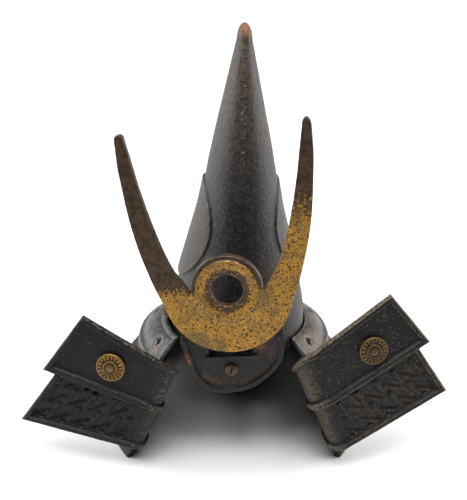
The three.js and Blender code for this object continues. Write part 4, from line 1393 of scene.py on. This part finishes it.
set_down(make_screw(), "visor_screw", screw_finish(), 3)

crest = make_crest()
mark_crest(crest)
set_down(crest, "crest", crest_finish(), 14, {"Seed": 4.0})

for side_name, seed, worn in (("right", 50.0, 1.0), ("left", 60.0, 0.6)):
    plate = make_wing("lacquered_wing_" + side_name, WINGS[side_name])
    mark_wing(plate, WINGS[side_name])
    lacquer = wing_finish("wing_lacquer_finish_" + side_name, seed, worn)
    set_down(plate, "wing_" + side_name, lacquer, 12, {"Seed": seed})

# The second colour of each rosette is its painted highlight.
bronze = rosette_finish("bronze_rosette_finish", "5a4220", "8f6c30")
ochre = rosette_finish("ochre_rosette_finish", "402f19", "694f27")
for side_name, seed, material in (("right", 4, ochre), ("left", 9, bronze)):
    flower = make_rosette("rosette_petals_" + side_name, WINGS[side_name], seed)
    set_down(flower, "rosette_" + side_name, material, 3)

# ---------------------------------------------------------------- table, light and camera

FLOOR_REACH = 3000.0
LIGHTS = {
    "overhead_light": (17.0, 0.9, (0.0, -0.05, 0.98)),
    "left_light": (6.0, 0.7, (-0.8, 0.3, 0.3)),
    "right_light": (6.0, 0.7, (0.8, 0.3, 0.3)),
}
LIT_PLACE = Vector((0, 0, 0.06))
ROOM = {"dark": 0.14, "light": 1.0, "from": -0.45, "to": 0.25}
CAMERA = {"distance": 0.42, "elevation": 32.0, "target": (0.00029, -0.00878, 0.075)}
LENS = {"focal": 75.6, "sensor": 36.0, "nearest": 0.01}


def lay_table():
    mesh = bpy.data.meshes.new("table")
    corners = rectangle(2 * FLOOR_REACH, 2 * FLOOR_REACH) * MM
    mesh.from_pydata([(x, y, 0) for x, y in corners], [], [(0, 1, 2, 3)])
    mesh.materials.append(Finish("table_finish", "f6f5f3").done(0.5, 0.0, 0.3))
    table = bpy.data.objects.new("table", mesh)
    bpy.context.scene.collection.objects.link(table)


def hang_lights():
    """Square soft boxes that face the middle of the helmet: power, size and place in metres."""
    for name, (power, size, place) in LIGHTS.items():
        light = bpy.data.lights.new(name, "AREA")
        light.energy = power
        light.size = size
        lamp = bpy.data.objects.new(name, light)
        bpy.context.scene.collection.objects.link(lamp)
        lamp.location = place
        lamp.rotation_euler = (LIT_PLACE - Vector(place)).to_track_quat("-Z", "Y").to_euler()


def paint_room():
    """A dim grey room, the grey of any new world, that is darkest to the front."""
    world = bpy.data.worlds.new("grey_room")
    world.use_nodes = True
    tree = world.node_tree
    background = tree.nodes["Background"]
    direction = tree.nodes.new("ShaderNodeTexCoord").outputs["Generated"]
    apart = node(tree, "ShaderNodeSeparateXYZ", {0: direction})
    to_back = Flow(tree, apart.outputs["Y"]).step(ROOM["from"], ROOM["to"])
    feed(tree, background.inputs["Strength"], to_back * ROOM["light"] + ROOM["dark"])
    bpy.context.scene.world = world
    bpy.context.scene.view_settings.view_transform = "Standard"


def place_camera():
    raised = math.radians(CAMERA["elevation"])
    away = Vector((0, -math.cos(raised), math.sin(raised)))
    lens = bpy.data.cameras.new("camera")
    lens.sensor_fit = "VERTICAL"
    lens.sensor_height = LENS["sensor"]
    lens.sensor_width = LENS["sensor"]
    lens.lens = LENS["focal"]
    lens.clip_start = LENS["nearest"]
    camera = bpy.data.objects.new("camera", lens)
    bpy.context.scene.collection.objects.link(camera)
    camera.location = Vector(CAMERA["target"]) + away * CAMERA["distance"]
    camera.rotation_euler = (-away).to_track_quat("-Z", "Y").to_euler()
    bpy.context.scene.camera = camera


lay_table()
hang_lights()
paint_room()
place_camera()
